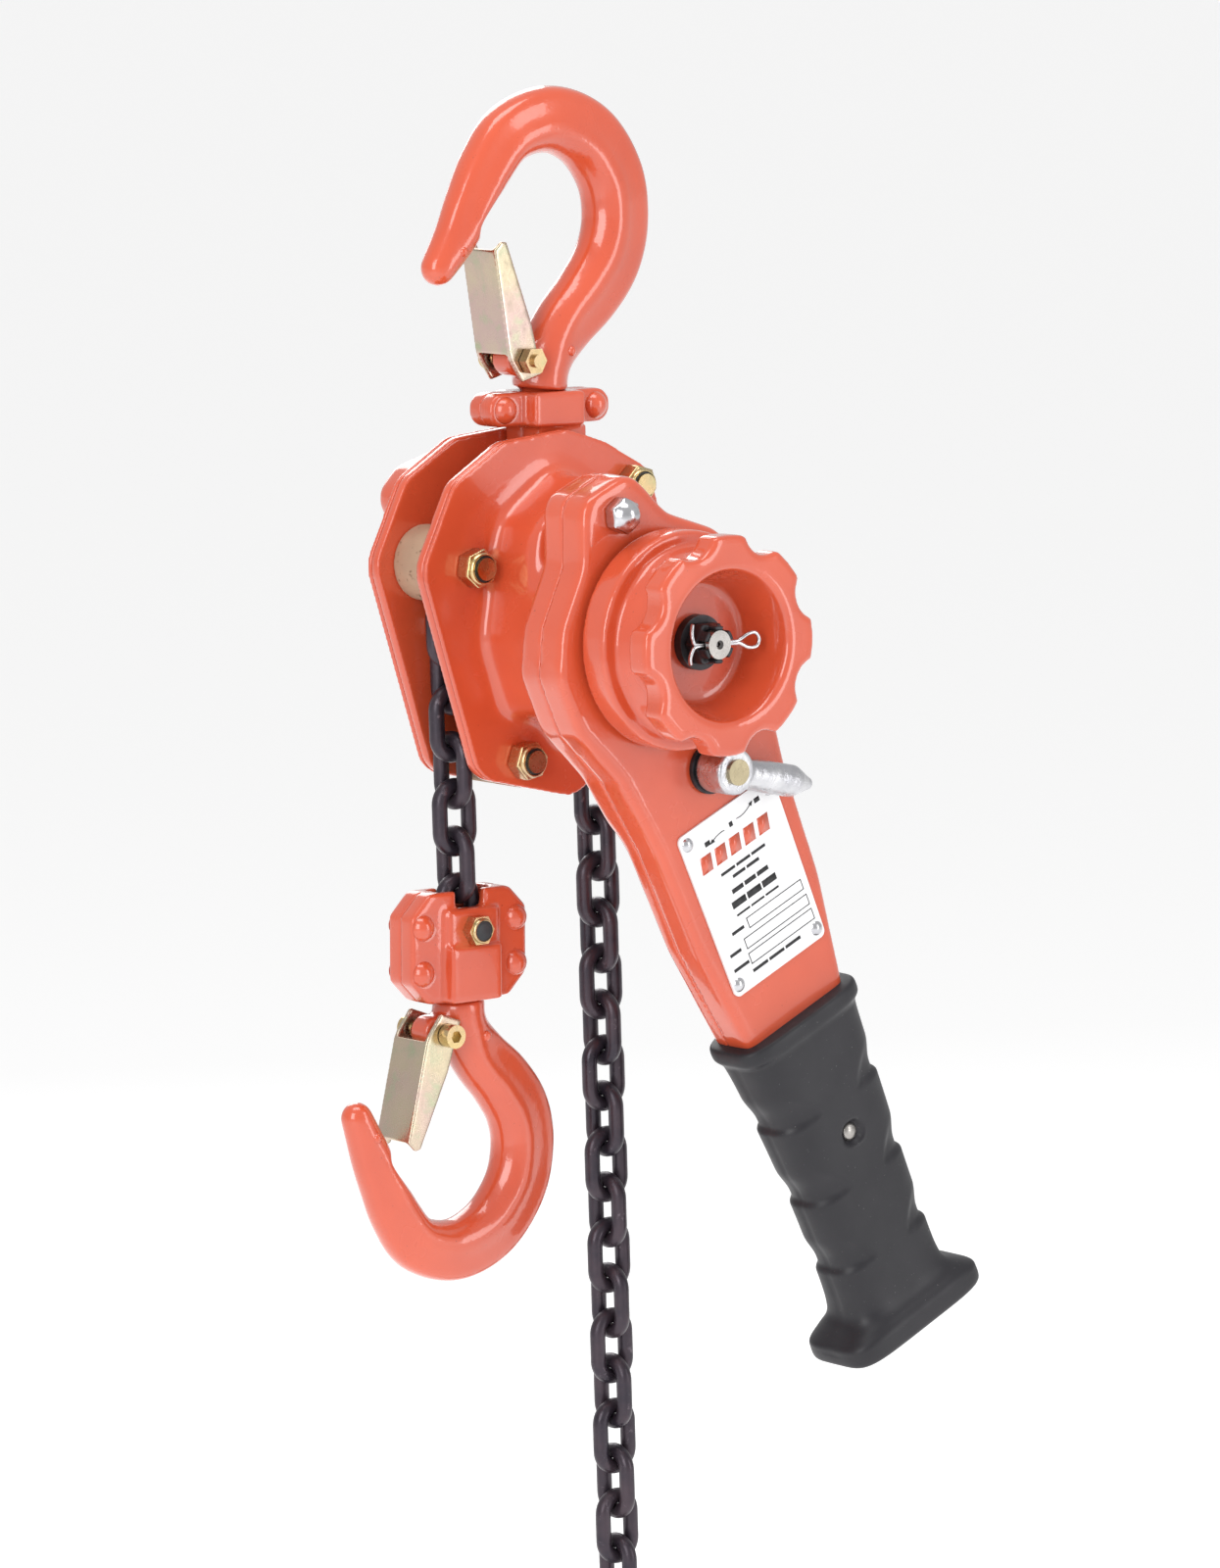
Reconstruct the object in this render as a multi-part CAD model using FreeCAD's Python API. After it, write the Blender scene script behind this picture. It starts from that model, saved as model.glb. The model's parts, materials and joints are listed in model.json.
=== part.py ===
"""Lever chain hoist, 1 tonne class. Millimetres, X to the right, front towards -Y, +Z up.
The origin is the saddle of the top hook, the point that rests on the support it hangs from."""
import FreeCAD
import Part
import math
import os

# ---------------------------------------------------------------- driving dimensions
WIRE = 5.6                      # load chain wire diameter
PITCH = 17.0                    # inner length of one link
LINK_WIDTH = 18.5               # outer width of one link
LINK_GAP = 0.15                 # play between two links
POCKETS = 6                     # pockets of the load sheave

SHAFT_X = -12.5                 # axis of sheave, brake, handwheel and lever
SHAFT_Z = -164.5
TOP_AXIS_X = -3.0               # swivel axis of the top hook
HOOK_FACE = 82.6                # saddle to the face of the yoke or block
HOOK_LEAN_TOP = 0.075           # sideways set of each bowl from its shank, per mm of height
HOOK_LEAN_BOTTOM = 0.0
TOP_HOOK_SIZE = 1.055           # top forging against the bottom one

GAP = 10.5                      # half the space between the side plates
PLATE = 4.0                     # side plate thickness
COVER = 2.0                     # pressed cover thickness
SKIN = GAP + PLATE + COVER      # outside of the cover flanges
PIN_Z = -110.0                  # top pin
PIN_R = 5.0
TOP_BLOCK_Z = -95.5             # underside of the yoke head

LEVER_ANGLE = 24.4              # from straight down towards +X
LEVER_BACK = -54.5              # lever head, back edge and face
LEVER_SPLIT = -66.0
LEVER_FACE = -78.0
LEVER_END = 285.0               # shaft to the end of the grip
SELECTOR_AT = 52.0              # shaft to the selector pivot
EAR_AT = 48.0                   # shaft to the cap nut of the ear
GRIP_Y = -69.3

WHEEL_BACK = -79.8
WHEEL_FRONT = -114.6
WHEEL_R = 38.2
WHEEL_LOBES = 8
BOWL_R = 26.8

BLOCK_TOP = -93.5 + SHAFT_Z     # bottom block
BLOCK_BOTTOM = -133.0 + SHAFT_Z
BLOCK_RIVET_X = 21.0
SLACK_LINKS = 20
CHAIN_LEAN = 2.1                # degrees out of plumb, lower ends towards +X
CHAIN_PHASE = 8.1               # degrees, first pocket before the horizontal

BOLTS = [(-35.3, 22.0), (37.8, 47.3), (-12.7, -47.5)]     # from the shaft
BOLT_R = 4.0
SPACER_R = [7.0, 5.6]
NUT_R = 7.2
NUT_H = 6.5
PLATE_POINTS = [(-56.5, 22), (-42.4, 51.5), (-20, 65), (9.5, 68.0), (26, 63), (47, 52),
                (56, 22), (48, -36), (12, -63), (-31.7, -53)]

GEAR_CENTRE = 22.0              # pinion to reduction shaft
GEAR_ANGLE = 100.0              # line of the gear shafts, from +X towards +Z
PINION_TEETH = 8
WHEEL_TEETH = 32
LOAD_TEETH = 28
CHANGE_TEETH = 12
CHANGE_MODULE = 2.6

FIT = 0.05                      # running fit, radial
CLEAR = 0.3                     # gap between parts that pass each other

# ---------------------------------------------------------------- helpers
Y_AXIS = FreeCAD.Vector(0, 1, 0)
Z_AXIS = FreeCAD.Vector(0, 0, 1)


def at(x, y, z):
    return FreeCAD.Vector(x, y, z)


def cyl_y(radius, y0, y1, x=SHAFT_X, z=SHAFT_Z):
    return Part.makeCylinder(radius, abs(y1 - y0), at(x, min(y0, y1), z), Y_AXIS)


def ring_y(outer, inner, y0, y1, x=SHAFT_X, z=SHAFT_Z):
    return cyl_y(outer, y0, y1, x, z).cut(cyl_y(inner, y0, y1, x, z))


def cyl_z(radius, z0, z1, x, y=0.0):
    return Part.makeCylinder(radius, abs(z1 - z0), at(x, y, min(z0, z1)), Z_AXIS)


def box(x0, x1, y0, y1, z0, z1):
    return Part.makeBox(x1 - x0, y1 - y0, z1 - z0, at(x0, y0, z0))


def turned(shape, angle, x=SHAFT_X, z=SHAFT_Z):
    """The shape turned about Y; a positive angle swings its lower end towards +X."""
    copy = shape.copy()
    copy.rotate(at(x, 0, z), Y_AXIS, -angle)
    return copy


def rounded_wire(points, radius, y):
    """A closed outline in XZ with every corner rounded, as long as the sides allow."""
    flat = [at(x, y, z) for x, z in points]
    count = len(flat)
    bends = []
    for i, corner in enumerate(flat):
        before = flat[i - 1] - corner
        after = flat[(i + 1) % count] - corner
        turn = math.pi - before.getAngle(after)
        reach = min(radius * math.tan(turn / 2), 0.48 * before.Length, 0.48 * after.Length)
        if turn < 0.01:
            bends.append((corner, corner, corner))
            continue
        fit = reach / math.tan(turn / 2)
        before.normalize()
        after.normalize()
        inward = before + after
        inward.normalize()
        middle = corner + inward * (fit / math.cos(turn / 2) - fit)
        bends.append((corner + before * reach, middle, corner + after * reach))
    edges = []
    for i, (start, middle, end) in enumerate(bends):
        if (end - start).Length > 0.01:
            edges.append(Part.Arc(start, middle, end).toShape())
        following = bends[(i + 1) % count][0]
        if (following - end).Length > 0.001:
            edges.append(Part.LineSegment(end, following).toShape())
    return Part.Wire(edges)


def prism(points, y0, y1, radius=0.0, x=0.0, z=0.0):
    """An outline in XZ, given from (x, z), pulled along Y."""
    moved = [(px + x, pz + z) for px, pz in points]
    low = min(y0, y1)
    if radius:
        wire = rounded_wire(moved, radius, low)
    else:
        wire = Part.makePolygon([at(px, low, pz) for px, pz in moved + moved[:1]])
    return Part.Face(wire).extrude(at(0, abs(y1 - y0), 0))


def circle_points(radius, count, turn=0.0):
    steps = [math.radians(turn + 360.0 * i / count) for i in range(count)]
    return [(radius * math.cos(a), radius * math.sin(a)) for a in steps]


def hex_nut(x, y0, y1, z, radius=NUT_R, bore=0.0, turn=0.0):
    nut = prism(circle_points(radius, 6, turn), y0, y1, 0.0, x, z)
    crown = Part.makeCone(radius * 0.94 + 3, radius * 0.94, 3.0, at(x, y1, z), at(0, 1 if y0 > y1 else -1, 0))
    nut = nut.common(crown.fuse(cyl_y(radius + 2, y0, y1, x, z).cut(
        cyl_y(radius + 3, y1, y1 + (3.0 if y0 > y1 else -3.0), x, z))))
    if bore:
        nut = nut.cut(cyl_y(bore, y0, y1, x, z))
    return nut


def dome_rivet(x, y, z, radius, height, out):
    """A snap head on the face at y; out is -1 towards the front, 1 towards the rear."""
    ball = (radius * radius + height * height) / (2 * height)
    centre = at(x, y + out * (height - ball), z)
    slab = cyl_y(radius + 1, y, y + out * (height + 1), x, z)
    return Part.makeSphere(ball, centre).common(slab)


def fused(shapes):
    return shapes[0].multiFuse(shapes[1:]).removeSplitter()


def save(name, *solids):
    pieces = []
    for shape in solids:
        pieces.extend(shape.Solids)
    Part.makeCompound(pieces).exportStep("parts/" + name + ".step")


# ---------------------------------------------------------------- chain
PIVOT_LONG = PITCH + WIRE
PIVOT_SHORT = PITCH - WIRE
LINK_STEP = PITCH - LINK_GAP


def sheave_radius():
    """The pivot circle on which one flat and one upright link fill one pocket."""
    low = PIVOT_LONG / 2
    high = PIVOT_LONG * POCKETS
    for _ in range(60):
        middle = (low + high) / 2
        turn = 2 * math.asin(PIVOT_LONG / 2 / middle) + 2 * math.asin(PIVOT_SHORT / 2 / middle)
        if turn > 2 * math.pi / POCKETS:
            low = middle
        else:
            high = middle
    return low


SHEAVE_R = sheave_radius()
FLAT_TURN = math.degrees(2 * math.asin(PIVOT_LONG / 2 / SHEAVE_R))
UPRIGHT_TURN = math.degrees(2 * math.asin(PIVOT_SHORT / 2 / SHEAVE_R))
HANG = SHEAVE_R * math.cos(math.radians(CHAIN_PHASE))
LOAD_X = SHAFT_X - HANG
SLACK_X = SHAFT_X + HANG
LOAD_TOP_Z = SHAFT_Z + SHEAVE_R * math.sin(math.radians(CHAIN_PHASE))
SLACK_TOP_Z = SHAFT_Z - SHEAVE_R * math.sin(math.radians(CHAIN_PHASE))
TOP_HOOK_LINKS = 3              # links on each side that still touch the sheave
LOAD_LINKS = 4


def one_link():
    """A link along Z lying in the XZ plane, centred on the origin."""
    wire_r = WIRE / 2
    leg_x = LINK_WIDTH / 2 - wire_r
    crown_z = (PITCH + 2 * WIRE - LINK_WIDTH) / 2
    pieces = []
    for side in (-1, 1):
        pieces.append(Part.makeCylinder(wire_r, 2 * crown_z, at(side * leg_x, 0, -crown_z), Z_AXIS))
        crown = Part.makeTorus(leg_x, wire_r, at(0, 0, 0), Y_AXIS)
        half = box(-LINK_WIDTH, LINK_WIDTH, -WIRE, WIRE, 0, LINK_WIDTH)
        crown = crown.common(half)
        if side < 0:
            crown.rotate(at(0, 0, 0), Y_AXIS, 180)
        crown.translate(at(0, 0, side * crown_z))
        pieces.append(crown)
    return fused(pieces)


LINK = one_link()


def link(x, z, upright, angle=0.0):
    """A link centred at (x, z), its length turned by angle from Z about Y."""
    copy = LINK.copy()
    if not upright:
        copy.rotate(at(0, 0, 0), Z_AXIS, 90)
    copy.rotate(at(0, 0, 0), Y_AXIS, angle)
    copy.translate(at(x, 0, z))
    return copy


def down_chain(start, drop):
    """The point that lies drop below the start of a hanging chain, along its lean."""
    lean = math.radians(CHAIN_LEAN)
    return (start[0] + drop * math.sin(lean), start[1] - drop * math.cos(lean))


def hanging_links(start, first_drop, first_upright, count):
    links = []
    for i in range(count):
        x, z = down_chain(start, first_drop + i * LINK_STEP)
        links.append(link(x, z, first_upright == (i % 2 == 0), -CHAIN_LEAN))
    return links


LOAD_START = (LOAD_X, LOAD_TOP_Z)
SLACK_START = (SLACK_X, SLACK_TOP_Z)
FIRST_LOAD_DROP = LINK_STEP - PIVOT_LONG / 2
FIRST_SLACK_DROP = PIVOT_LONG / 2
LOAD_CHAIN_DROP = FIRST_LOAD_DROP + TOP_HOOK_LINKS * LINK_STEP
SLACK_CHAIN_DROP = FIRST_SLACK_DROP + TOP_HOOK_LINKS * LINK_STEP
LOAD_SWING = down_chain(LOAD_START, LOAD_CHAIN_DROP - PIVOT_LONG / 2)
SLACK_SWING = down_chain(SLACK_START, SLACK_CHAIN_DROP - LINK_STEP + PIVOT_LONG / 2)
CHAIN_PIN_R = 3.0
CHAIN_PIN_DROP = LOAD_CHAIN_DROP + (LOAD_LINKS - 1) * LINK_STEP + PITCH / 2 - CHAIN_PIN_R - LINK_GAP
BLOCK_X, CHAIN_PIN_Z = down_chain(LOAD_START, CHAIN_PIN_DROP)
RING_WIRE = 3.5
RING_R = 15.0


def chain_over_sheave():
    links = []
    angle = 180.0 - CHAIN_PHASE
    for _ in range(POCKETS // 2):
        for turn, upright in ((FLAT_TURN, False), (UPRIGHT_TURN, True)):
            middle = math.radians(angle - turn / 2)
            reach = SHEAVE_R * math.cos(math.radians(turn / 2))
            links.append(link(SHAFT_X + reach * math.cos(middle), SHAFT_Z + reach * math.sin(middle),
                              upright, -(angle - turn / 2)))
            angle -= turn
    links += hanging_links(LOAD_START, FIRST_LOAD_DROP, True, TOP_HOOK_LINKS)
    links += hanging_links(SLACK_START, FIRST_SLACK_DROP, False, TOP_HOOK_LINKS)
    save("chain_over_sheave", *links)


def load_chain():
    save("load_chain", *hanging_links(LOAD_START, LOAD_CHAIN_DROP, False, LOAD_LINKS))


def slack_chain():
    """The free end of the chain, closed by the stop ring that the sheave can't swallow."""
    save("slack_chain", *hanging_links(SLACK_START, SLACK_CHAIN_DROP, True, SLACK_LINKS))
    last = SLACK_CHAIN_DROP + (SLACK_LINKS - 1) * LINK_STEP
    x, z = down_chain(SLACK_START, last + PITCH / 2 - RING_WIRE - CLEAR + RING_R)
    save("stop_ring", Part.makeTorus(RING_R, RING_WIRE, at(x, 0, z), Y_AXIS))


# ---------------------------------------------------------------- hooks
HOOK_PATH = [(0, -0.5, 19.0, 9.4), (0.3, 6, 19.0, 9.4), (3, 13, 20, 9.4), (10, 22, 22, 9.3),
             (19, 31, 24, 9.2), (26.5, 42, 25, 9.2), (29, 55, 25, 9.2), (25.5, 70, 25, 9.2),
             (14, 83.5, 24.5, 9.2), (-2.5, 89.5, 22.8, 9.2), (-19, 85.5, 20.5, 8.8),
             (-28.5, 74.5, 19.0, 8.2), (-34.5, 62.5, 17.5, 7.6), (-39.5, 52, 15.5, 6.8),
             (-46.5, 41.5, 12.0, 5.8)]
TIP_SWELL = 0.4                 # extra radius of the rounded tip over the last section
SHANK_R = 6.5
LATCH_X = -12.5
LATCH_Z = 10.0
LATCH_R = 2.5
LUG_HALF = 5.0
HEAD_R = 9.5
HEAD_H = 5.0
WALL_H = 7.0


class Hook:
    """One forged hook. Heights are measured from the block face towards the bowl."""

    def __init__(self, x, face_z, up, lean, size):
        self.x = x
        self.face = face_z
        self.up = up
        self.lean = lean
        self.size = size

    def place(self, x, y, height):
        grown = height * self.size
        return at(self.x + x * self.size + self.lean * grown, y, self.face + self.up * grown)

    def section(self, i):
        x, height, width, half = HOOK_PATH[i]
        before = HOOK_PATH[max(i - 1, 0)]
        after = HOOK_PATH[min(i + 1, len(HOOK_PATH) - 1)]
        run = self.place(after[0], 0, after[1]) - self.place(before[0], 0, before[1])
        if i < 2:
            run = at(0, 0, self.up)
        run.normalize()
        across = at(run.z, 0, -run.x) * self.up
        centre = self.place(x, 0, height)
        wide = across * (width / 2 * self.size)
        ellipse = Part.Ellipse(centre + wide, centre + at(0, half * self.size, 0), centre)
        return Part.Wire([ellipse.toShape()])

    def body(self):
        wires = [self.section(i) for i in range(len(HOOK_PATH))]
        bowl = Part.makeLoft(wires, True, False)
        tip_x, tip_h, tip_w, _ = HOOK_PATH[-1]
        tip = Part.makeSphere((tip_w / 2 + TIP_SWELL) * self.size, self.place(tip_x, 0, tip_h))
        pivot = self.place(LATCH_X, 0, LATCH_Z)
        lug = cyl_y(6.0, -LUG_HALF, LUG_HALF, pivot.x, pivot.z)
        root = box(pivot.x, self.x + self.lean * LATCH_Z, -LUG_HALF, LUG_HALF, pivot.z - 6.0, pivot.z + 6.0)
        low = self.face - self.up * (WALL_H + HEAD_H)
        shank = cyl_z(SHANK_R, self.face + self.up * 4.0, low, self.x)
        head = cyl_z(HEAD_R - CLEAR, low, low + self.up * (HEAD_H - CLEAR), self.x)
        whole = fused([bowl, tip, lug, root, shank, head])
        return whole.cut(cyl_y(LATCH_R, -LUG_HALF, LUG_HALF, pivot.x, pivot.z))

    def bore(self):
        """The room that the shank and its head need in a yoke or block."""
        low = self.face - self.up * (WALL_H + HEAD_H + CLEAR)
        neck = cyl_z(SHANK_R + FIT, self.face + self.up, low, self.x)
        room = cyl_z(HEAD_R + CLEAR, low, low + self.up * (HEAD_H + CLEAR), self.x)
        return fused([neck, room])

    def latch_pieces(self, name, nut_front):
        """Pivot screw, return spring and pressed latch."""
        pivot = self.place(LATCH_X, 0, LATCH_Z)
        screw = cyl_y(LATCH_R - 0.01, -11.5, 11.5, pivot.x, pivot.z)
        front = cyl_y(4.2, -14.5, -9.7, pivot.x, pivot.z)
        rear = cyl_y(4.2, 9.7, 14.0, pivot.x, pivot.z)
        if nut_front:
            front = prism(circle_points(4.9, 6), -13.5, -9.7, 0.0, pivot.x, pivot.z)
            front = front.fuse(cyl_y(2.4, -15.2, -13.5, pivot.x, pivot.z))
        else:
            front = front.cut(prism(circle_points(2.3, 6), -14.5, -12.0, 0.0, pivot.x, pivot.z))
        save(name + "_latch_screw", fused([screw, front, rear]))
        save(name + "_latch_spring", ring_y(4.4, 3.0, LUG_HALF + 0.3, 7.5, pivot.x, pivot.z))
        self.save_latch(name, pivot)

    def save_latch(self, name, pivot):
        """A channel of sheet that spans the throat and rests inside the tip."""
        end = self.place(LATCH_TIP[0], 0, LATCH_TIP[1])
        along = end - pivot
        length = along.Length
        along.normalize()
        side = at(along.z, 0, -along.x) * (-self.up)
        if side.x > 0:
            side = side * -1

        def spot(u, v):
            point = pivot + along * u + side * v
            return (point.x, point.z)

        cheek = [spot(-6.5, -4.5), spot(-6.5, 5.0), spot(3, 8.0), spot(length - 2, 4.0),
                 spot(length, 0.0), spot(length - 1, -2.2), spot(12, -5.0)]
        web = [spot(4.5, 8.2), spot(4.5, 6.6), spot(length - 2, 2.4), spot(length - 2, 4.0)]
        pieces = []
        for y0, y1 in ((-9.4, -7.8), (7.8, 9.4)):
            pieces.append(prism(cheek, y0, y1))
        pieces.append(prism(web, -9.4, 9.4))
        latch = fused(pieces)
        save(name + "_latch", latch.cut(cyl_y(LATCH_R + FIT, -10, 10, pivot.x, pivot.z)))


LATCH_TIP = (-27.0, 50.0)
TOP_HOOK = Hook(TOP_AXIS_X, -HOOK_FACE, 1, HOOK_LEAN_TOP, TOP_HOOK_SIZE)
BOTTOM_HOOK = Hook(BLOCK_X, BLOCK_BOTTOM - 0.8, -1, HOOK_LEAN_BOTTOM, 1.0)


def hooks():
    save("top_hook", TOP_HOOK.body())
    TOP_HOOK.latch_pieces("top", True)
    save("bottom_hook", BOTTOM_HOOK.body())
    BOTTOM_HOOK.latch_pieces("bottom", False)


# ---------------------------------------------------------------- yoke and bottom block
YOKE_RIVET_X = 20.7
EAR_R = 6.5
EAR_HALF = 6.5
YOKE_HALF = 12.0
YOKE_MID = (-HOOK_FACE - 0.8 + TOP_BLOCK_Z) / 2


def top_yoke():
    top = -HOOK_FACE - 0.8
    x = TOP_AXIS_X
    ears = prism([(-27.5, top), (27.5, top), (27.5, TOP_BLOCK_Z), (-27.5, TOP_BLOCK_Z)],
                 -EAR_HALF, EAR_HALF, EAR_R, x)
    boss = box(x - 11.5, x + 11.5, -YOKE_HALF, YOKE_HALF, TOP_BLOCK_Z, top)
    lug = box(-11.0, 11.0, -9.8, 9.8, PIN_Z, TOP_BLOCK_Z)
    foot = cyl_y(11.0, -9.8, 9.8, 0.0, PIN_Z)
    whole = fused([ears, boss, lug, foot]).cut(TOP_HOOK.bore())
    whole = whole.cut(cyl_y(PIN_R + FIT, -10, 10, 0.0, PIN_Z))
    rivets = []
    for sign in (-1, 1):
        rx = x + sign * YOKE_RIVET_X
        whole = whole.cut(cyl_y(3.0, -20, 20, rx, YOKE_MID))
        rivets.append(fused([cyl_y(3.0, -EAR_HALF, EAR_HALF, rx, YOKE_MID),
                             dome_rivet(rx, -EAR_HALF, YOKE_MID, 4.8, 3.2, -1),
                             dome_rivet(rx, EAR_HALF, YOKE_MID, 4.8, 3.2, 1)]))
    save("top_yoke_front", whole.common(box(-60, 60, -30, 0, -140, 0)))
    save("top_yoke_rear", whole.common(box(-60, 60, 0, 30, -140, 0)))
    save("top_yoke_rivets", *rivets)


BLOCK_HALF = 7.0
BLOCK_BOSS = 11.5


def bottom_block():
    x = BLOCK_X
    half = 26.0
    clip = 8.0
    outline = [(-half, BLOCK_BOTTOM + clip), (-half + clip, BLOCK_BOTTOM), (half - clip, BLOCK_BOTTOM),
               (half, BLOCK_BOTTOM + clip), (half, BLOCK_TOP - clip), (half - clip, BLOCK_TOP),
               (-half + clip, BLOCK_TOP), (-half, BLOCK_TOP - clip)]
    body = prism(outline, -BLOCK_HALF, BLOCK_HALF, 3.0, x)
    boss = box(x - 11.5, x + 11.5, -BLOCK_BOSS, BLOCK_BOSS, BLOCK_BOTTOM, BLOCK_BOTTOM + 20.0)
    eye = cyl_y(8.5, -8.5, 8.5, x, CHAIN_PIN_Z)
    whole = fused([body, boss, eye]).cut(BOTTOM_HOOK.bore())
    link_room = box(x - 12.2, x + 12.2, -3.3, 3.3, BLOCK_BOTTOM + WALL_H + HEAD_H, BLOCK_TOP + 1)
    notch = box(x - 6.2, x + 6.2, -20, 20, CHAIN_PIN_Z + 7.6, BLOCK_TOP + 1)
    whole = whole.cut(link_room).cut(notch).cut(cyl_y(CHAIN_PIN_R + 0.01, -30, 30, x, CHAIN_PIN_Z))
    rivets = []
    for sx in (-1, 1):
        for z in (CHAIN_PIN_Z + 2.0, CHAIN_PIN_Z - 14.3):
            rx = x + sx * BLOCK_RIVET_X
            whole = whole.cut(cyl_y(3.0, -20, 20, rx, z))
            rivets.append(fused([cyl_y(3.0, -BLOCK_HALF, BLOCK_HALF, rx, z),
                                 dome_rivet(rx, -BLOCK_HALF, z, 4.6, 3.0, -1),
                                 dome_rivet(rx, BLOCK_HALF, z, 4.6, 3.0, 1)]))
    save("block_front", whole.common(box(x - 60, x + 60, -30, 0, BLOCK_BOTTOM - 5, BLOCK_TOP + 5)))
    save("block_rear", whole.common(box(x - 60, x + 60, 0, 30, BLOCK_BOTTOM - 5, BLOCK_TOP + 5)))
    save("block_rivets", *rivets)
    pin = cyl_y(CHAIN_PIN_R, -15.0, 12.0, x, CHAIN_PIN_Z)
    head = prism(circle_points(5.6, 6), 8.5, 12.0, 0.0, x, CHAIN_PIN_Z)
    nut = prism(circle_points(5.6, 6), -13.8, -8.5, 0.0, x, CHAIN_PIN_Z)
    save("chain_pin_bolt", fused([pin, head, nut]))


# ---------------------------------------------------------------- frame
BEARING_R = 17.0
HUB_R = 13.0
LOAD_GEAR_Y = (17.0, 24.0)
WHEEL_GEAR_Y = (26.0, 32.0)
GEAR_COVER_Y = 38.0
BRAKE_STEP_Y = -40.0
BRAKE_COVER_Y = -52.0


def from_shaft(x, z):
    return (SHAFT_X + x, SHAFT_Z + z)


def gear_spot(sign):
    angle = math.radians(GEAR_ANGLE)
    return (SHAFT_X + sign * GEAR_CENTRE * math.cos(angle), SHAFT_Z + sign * GEAR_CENTRE * math.sin(angle))


def bolt_holes(shape, radius):
    for x, z in BOLTS:
        bx, bz = from_shaft(x, z)
        shape = shape.cut(cyl_y(radius, -60, 60, bx, bz))
    return shape


def plate_blank(y0, y1):
    blank = prism(PLATE_POINTS, y0, y1, 12.0, SHAFT_X, SHAFT_Z)
    return bolt_holes(blank, BOLT_R + 0.01)


def side_plates():
    for name, y0, y1 in (("front_side_plate", -GAP - PLATE, -GAP), ("rear_side_plate", GAP, GAP + PLATE)):
        plate = plate_blank(y0, y1).cut(cyl_y(BEARING_R, -60, 60))
        plate = plate.cut(cyl_y(PIN_R, -60, 60, 0.0, PIN_Z))
        if y0 > 0:
            for sign in (-1, 1):
                gx, gz = gear_spot(sign)
                plate = plate.cut(cyl_y(3.0 + FIT, -60, 60, gx, gz))
        else:
            for x, z in PAWL_PINS:
                px, pz = from_shaft(x, z)
                plate = plate.cut(cyl_y(2.5, -60, 60, px, pz))
        save(name, plate)


def brake_cover():
    """Pressed cover of the brake: a flange, an uneven dome and a round step for the lever."""
    dome = [(-30, -4), (-23, 37), (2, 55), (24, 42), (44, 24), (46, -20), (27, -46), (5, -46),
            (-3, -35), (-20, -30)]
    outer = fused([plate_blank(-SKIN, -GAP - PLATE),
                   prism(dome, BRAKE_STEP_Y, -SKIN + 0.5, 10.0, SHAFT_X, SHAFT_Z),
                   cyl_y(30.0, BRAKE_COVER_Y, BRAKE_STEP_Y + 1)])
    room = []
    for x, z in dome:
        size = math.hypot(x, z)
        room.append((x * (size - COVER) / size, z * (size - COVER) / size))
    inner = fused([prism(room, BRAKE_STEP_Y + COVER, -GAP - PLATE, 9.0, SHAFT_X, SHAFT_Z),
                   cyl_y(30.0 - COVER, BRAKE_COVER_Y + COVER, BRAKE_STEP_Y + 3)])
    save("brake_cover", outer.cut(inner).cut(cyl_y(20.0, -60, -45)))


BOSS_DEEP = 4.5
GEAR_DOME = [(-27, -24), (-27, 8), (-26, 30), (-34, 37), (-36, 45), (-27, 54), (-8, 60), (14, 56),
             (24, 44), (28, 24), (30, -20), (26, -44), (2, -47), (-17, -34)]


def gear_cover():
    """Pressed cover of the gears: a flange and one uneven dome over the whole train."""
    outer = fused([plate_blank(GAP + PLATE, SKIN),
                   prism(GEAR_DOME, SKIN - 0.5, GEAR_COVER_Y, 9.0, SHAFT_X, SHAFT_Z)])
    cover = outer.cut(prism(shrunk(GEAR_DOME, COVER), GAP + PLATE, GEAR_COVER_Y - COVER, 8.0,
                            SHAFT_X, SHAFT_Z))
    bosses = [cyl_y(8.0, GEAR_COVER_Y - BOSS_DEEP, GEAR_COVER_Y - 1.0)]
    for sign in (-1, 1):
        gx, gz = gear_spot(sign)
        bosses.append(cyl_y(5.5, GEAR_COVER_Y - BOSS_DEEP, GEAR_COVER_Y - 1.0, gx, gz))
    cover = fused([cover] + bosses).cut(cyl_y(4.0 + FIT, 30, GEAR_COVER_Y - 1.5))
    for sign in (-1, 1):
        gx, gz = gear_spot(sign)
        cover = cover.cut(cyl_y(3.0 + FIT, 30, GEAR_COVER_Y - 1.5, gx, gz))
    save("gear_cover", cover)


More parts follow.
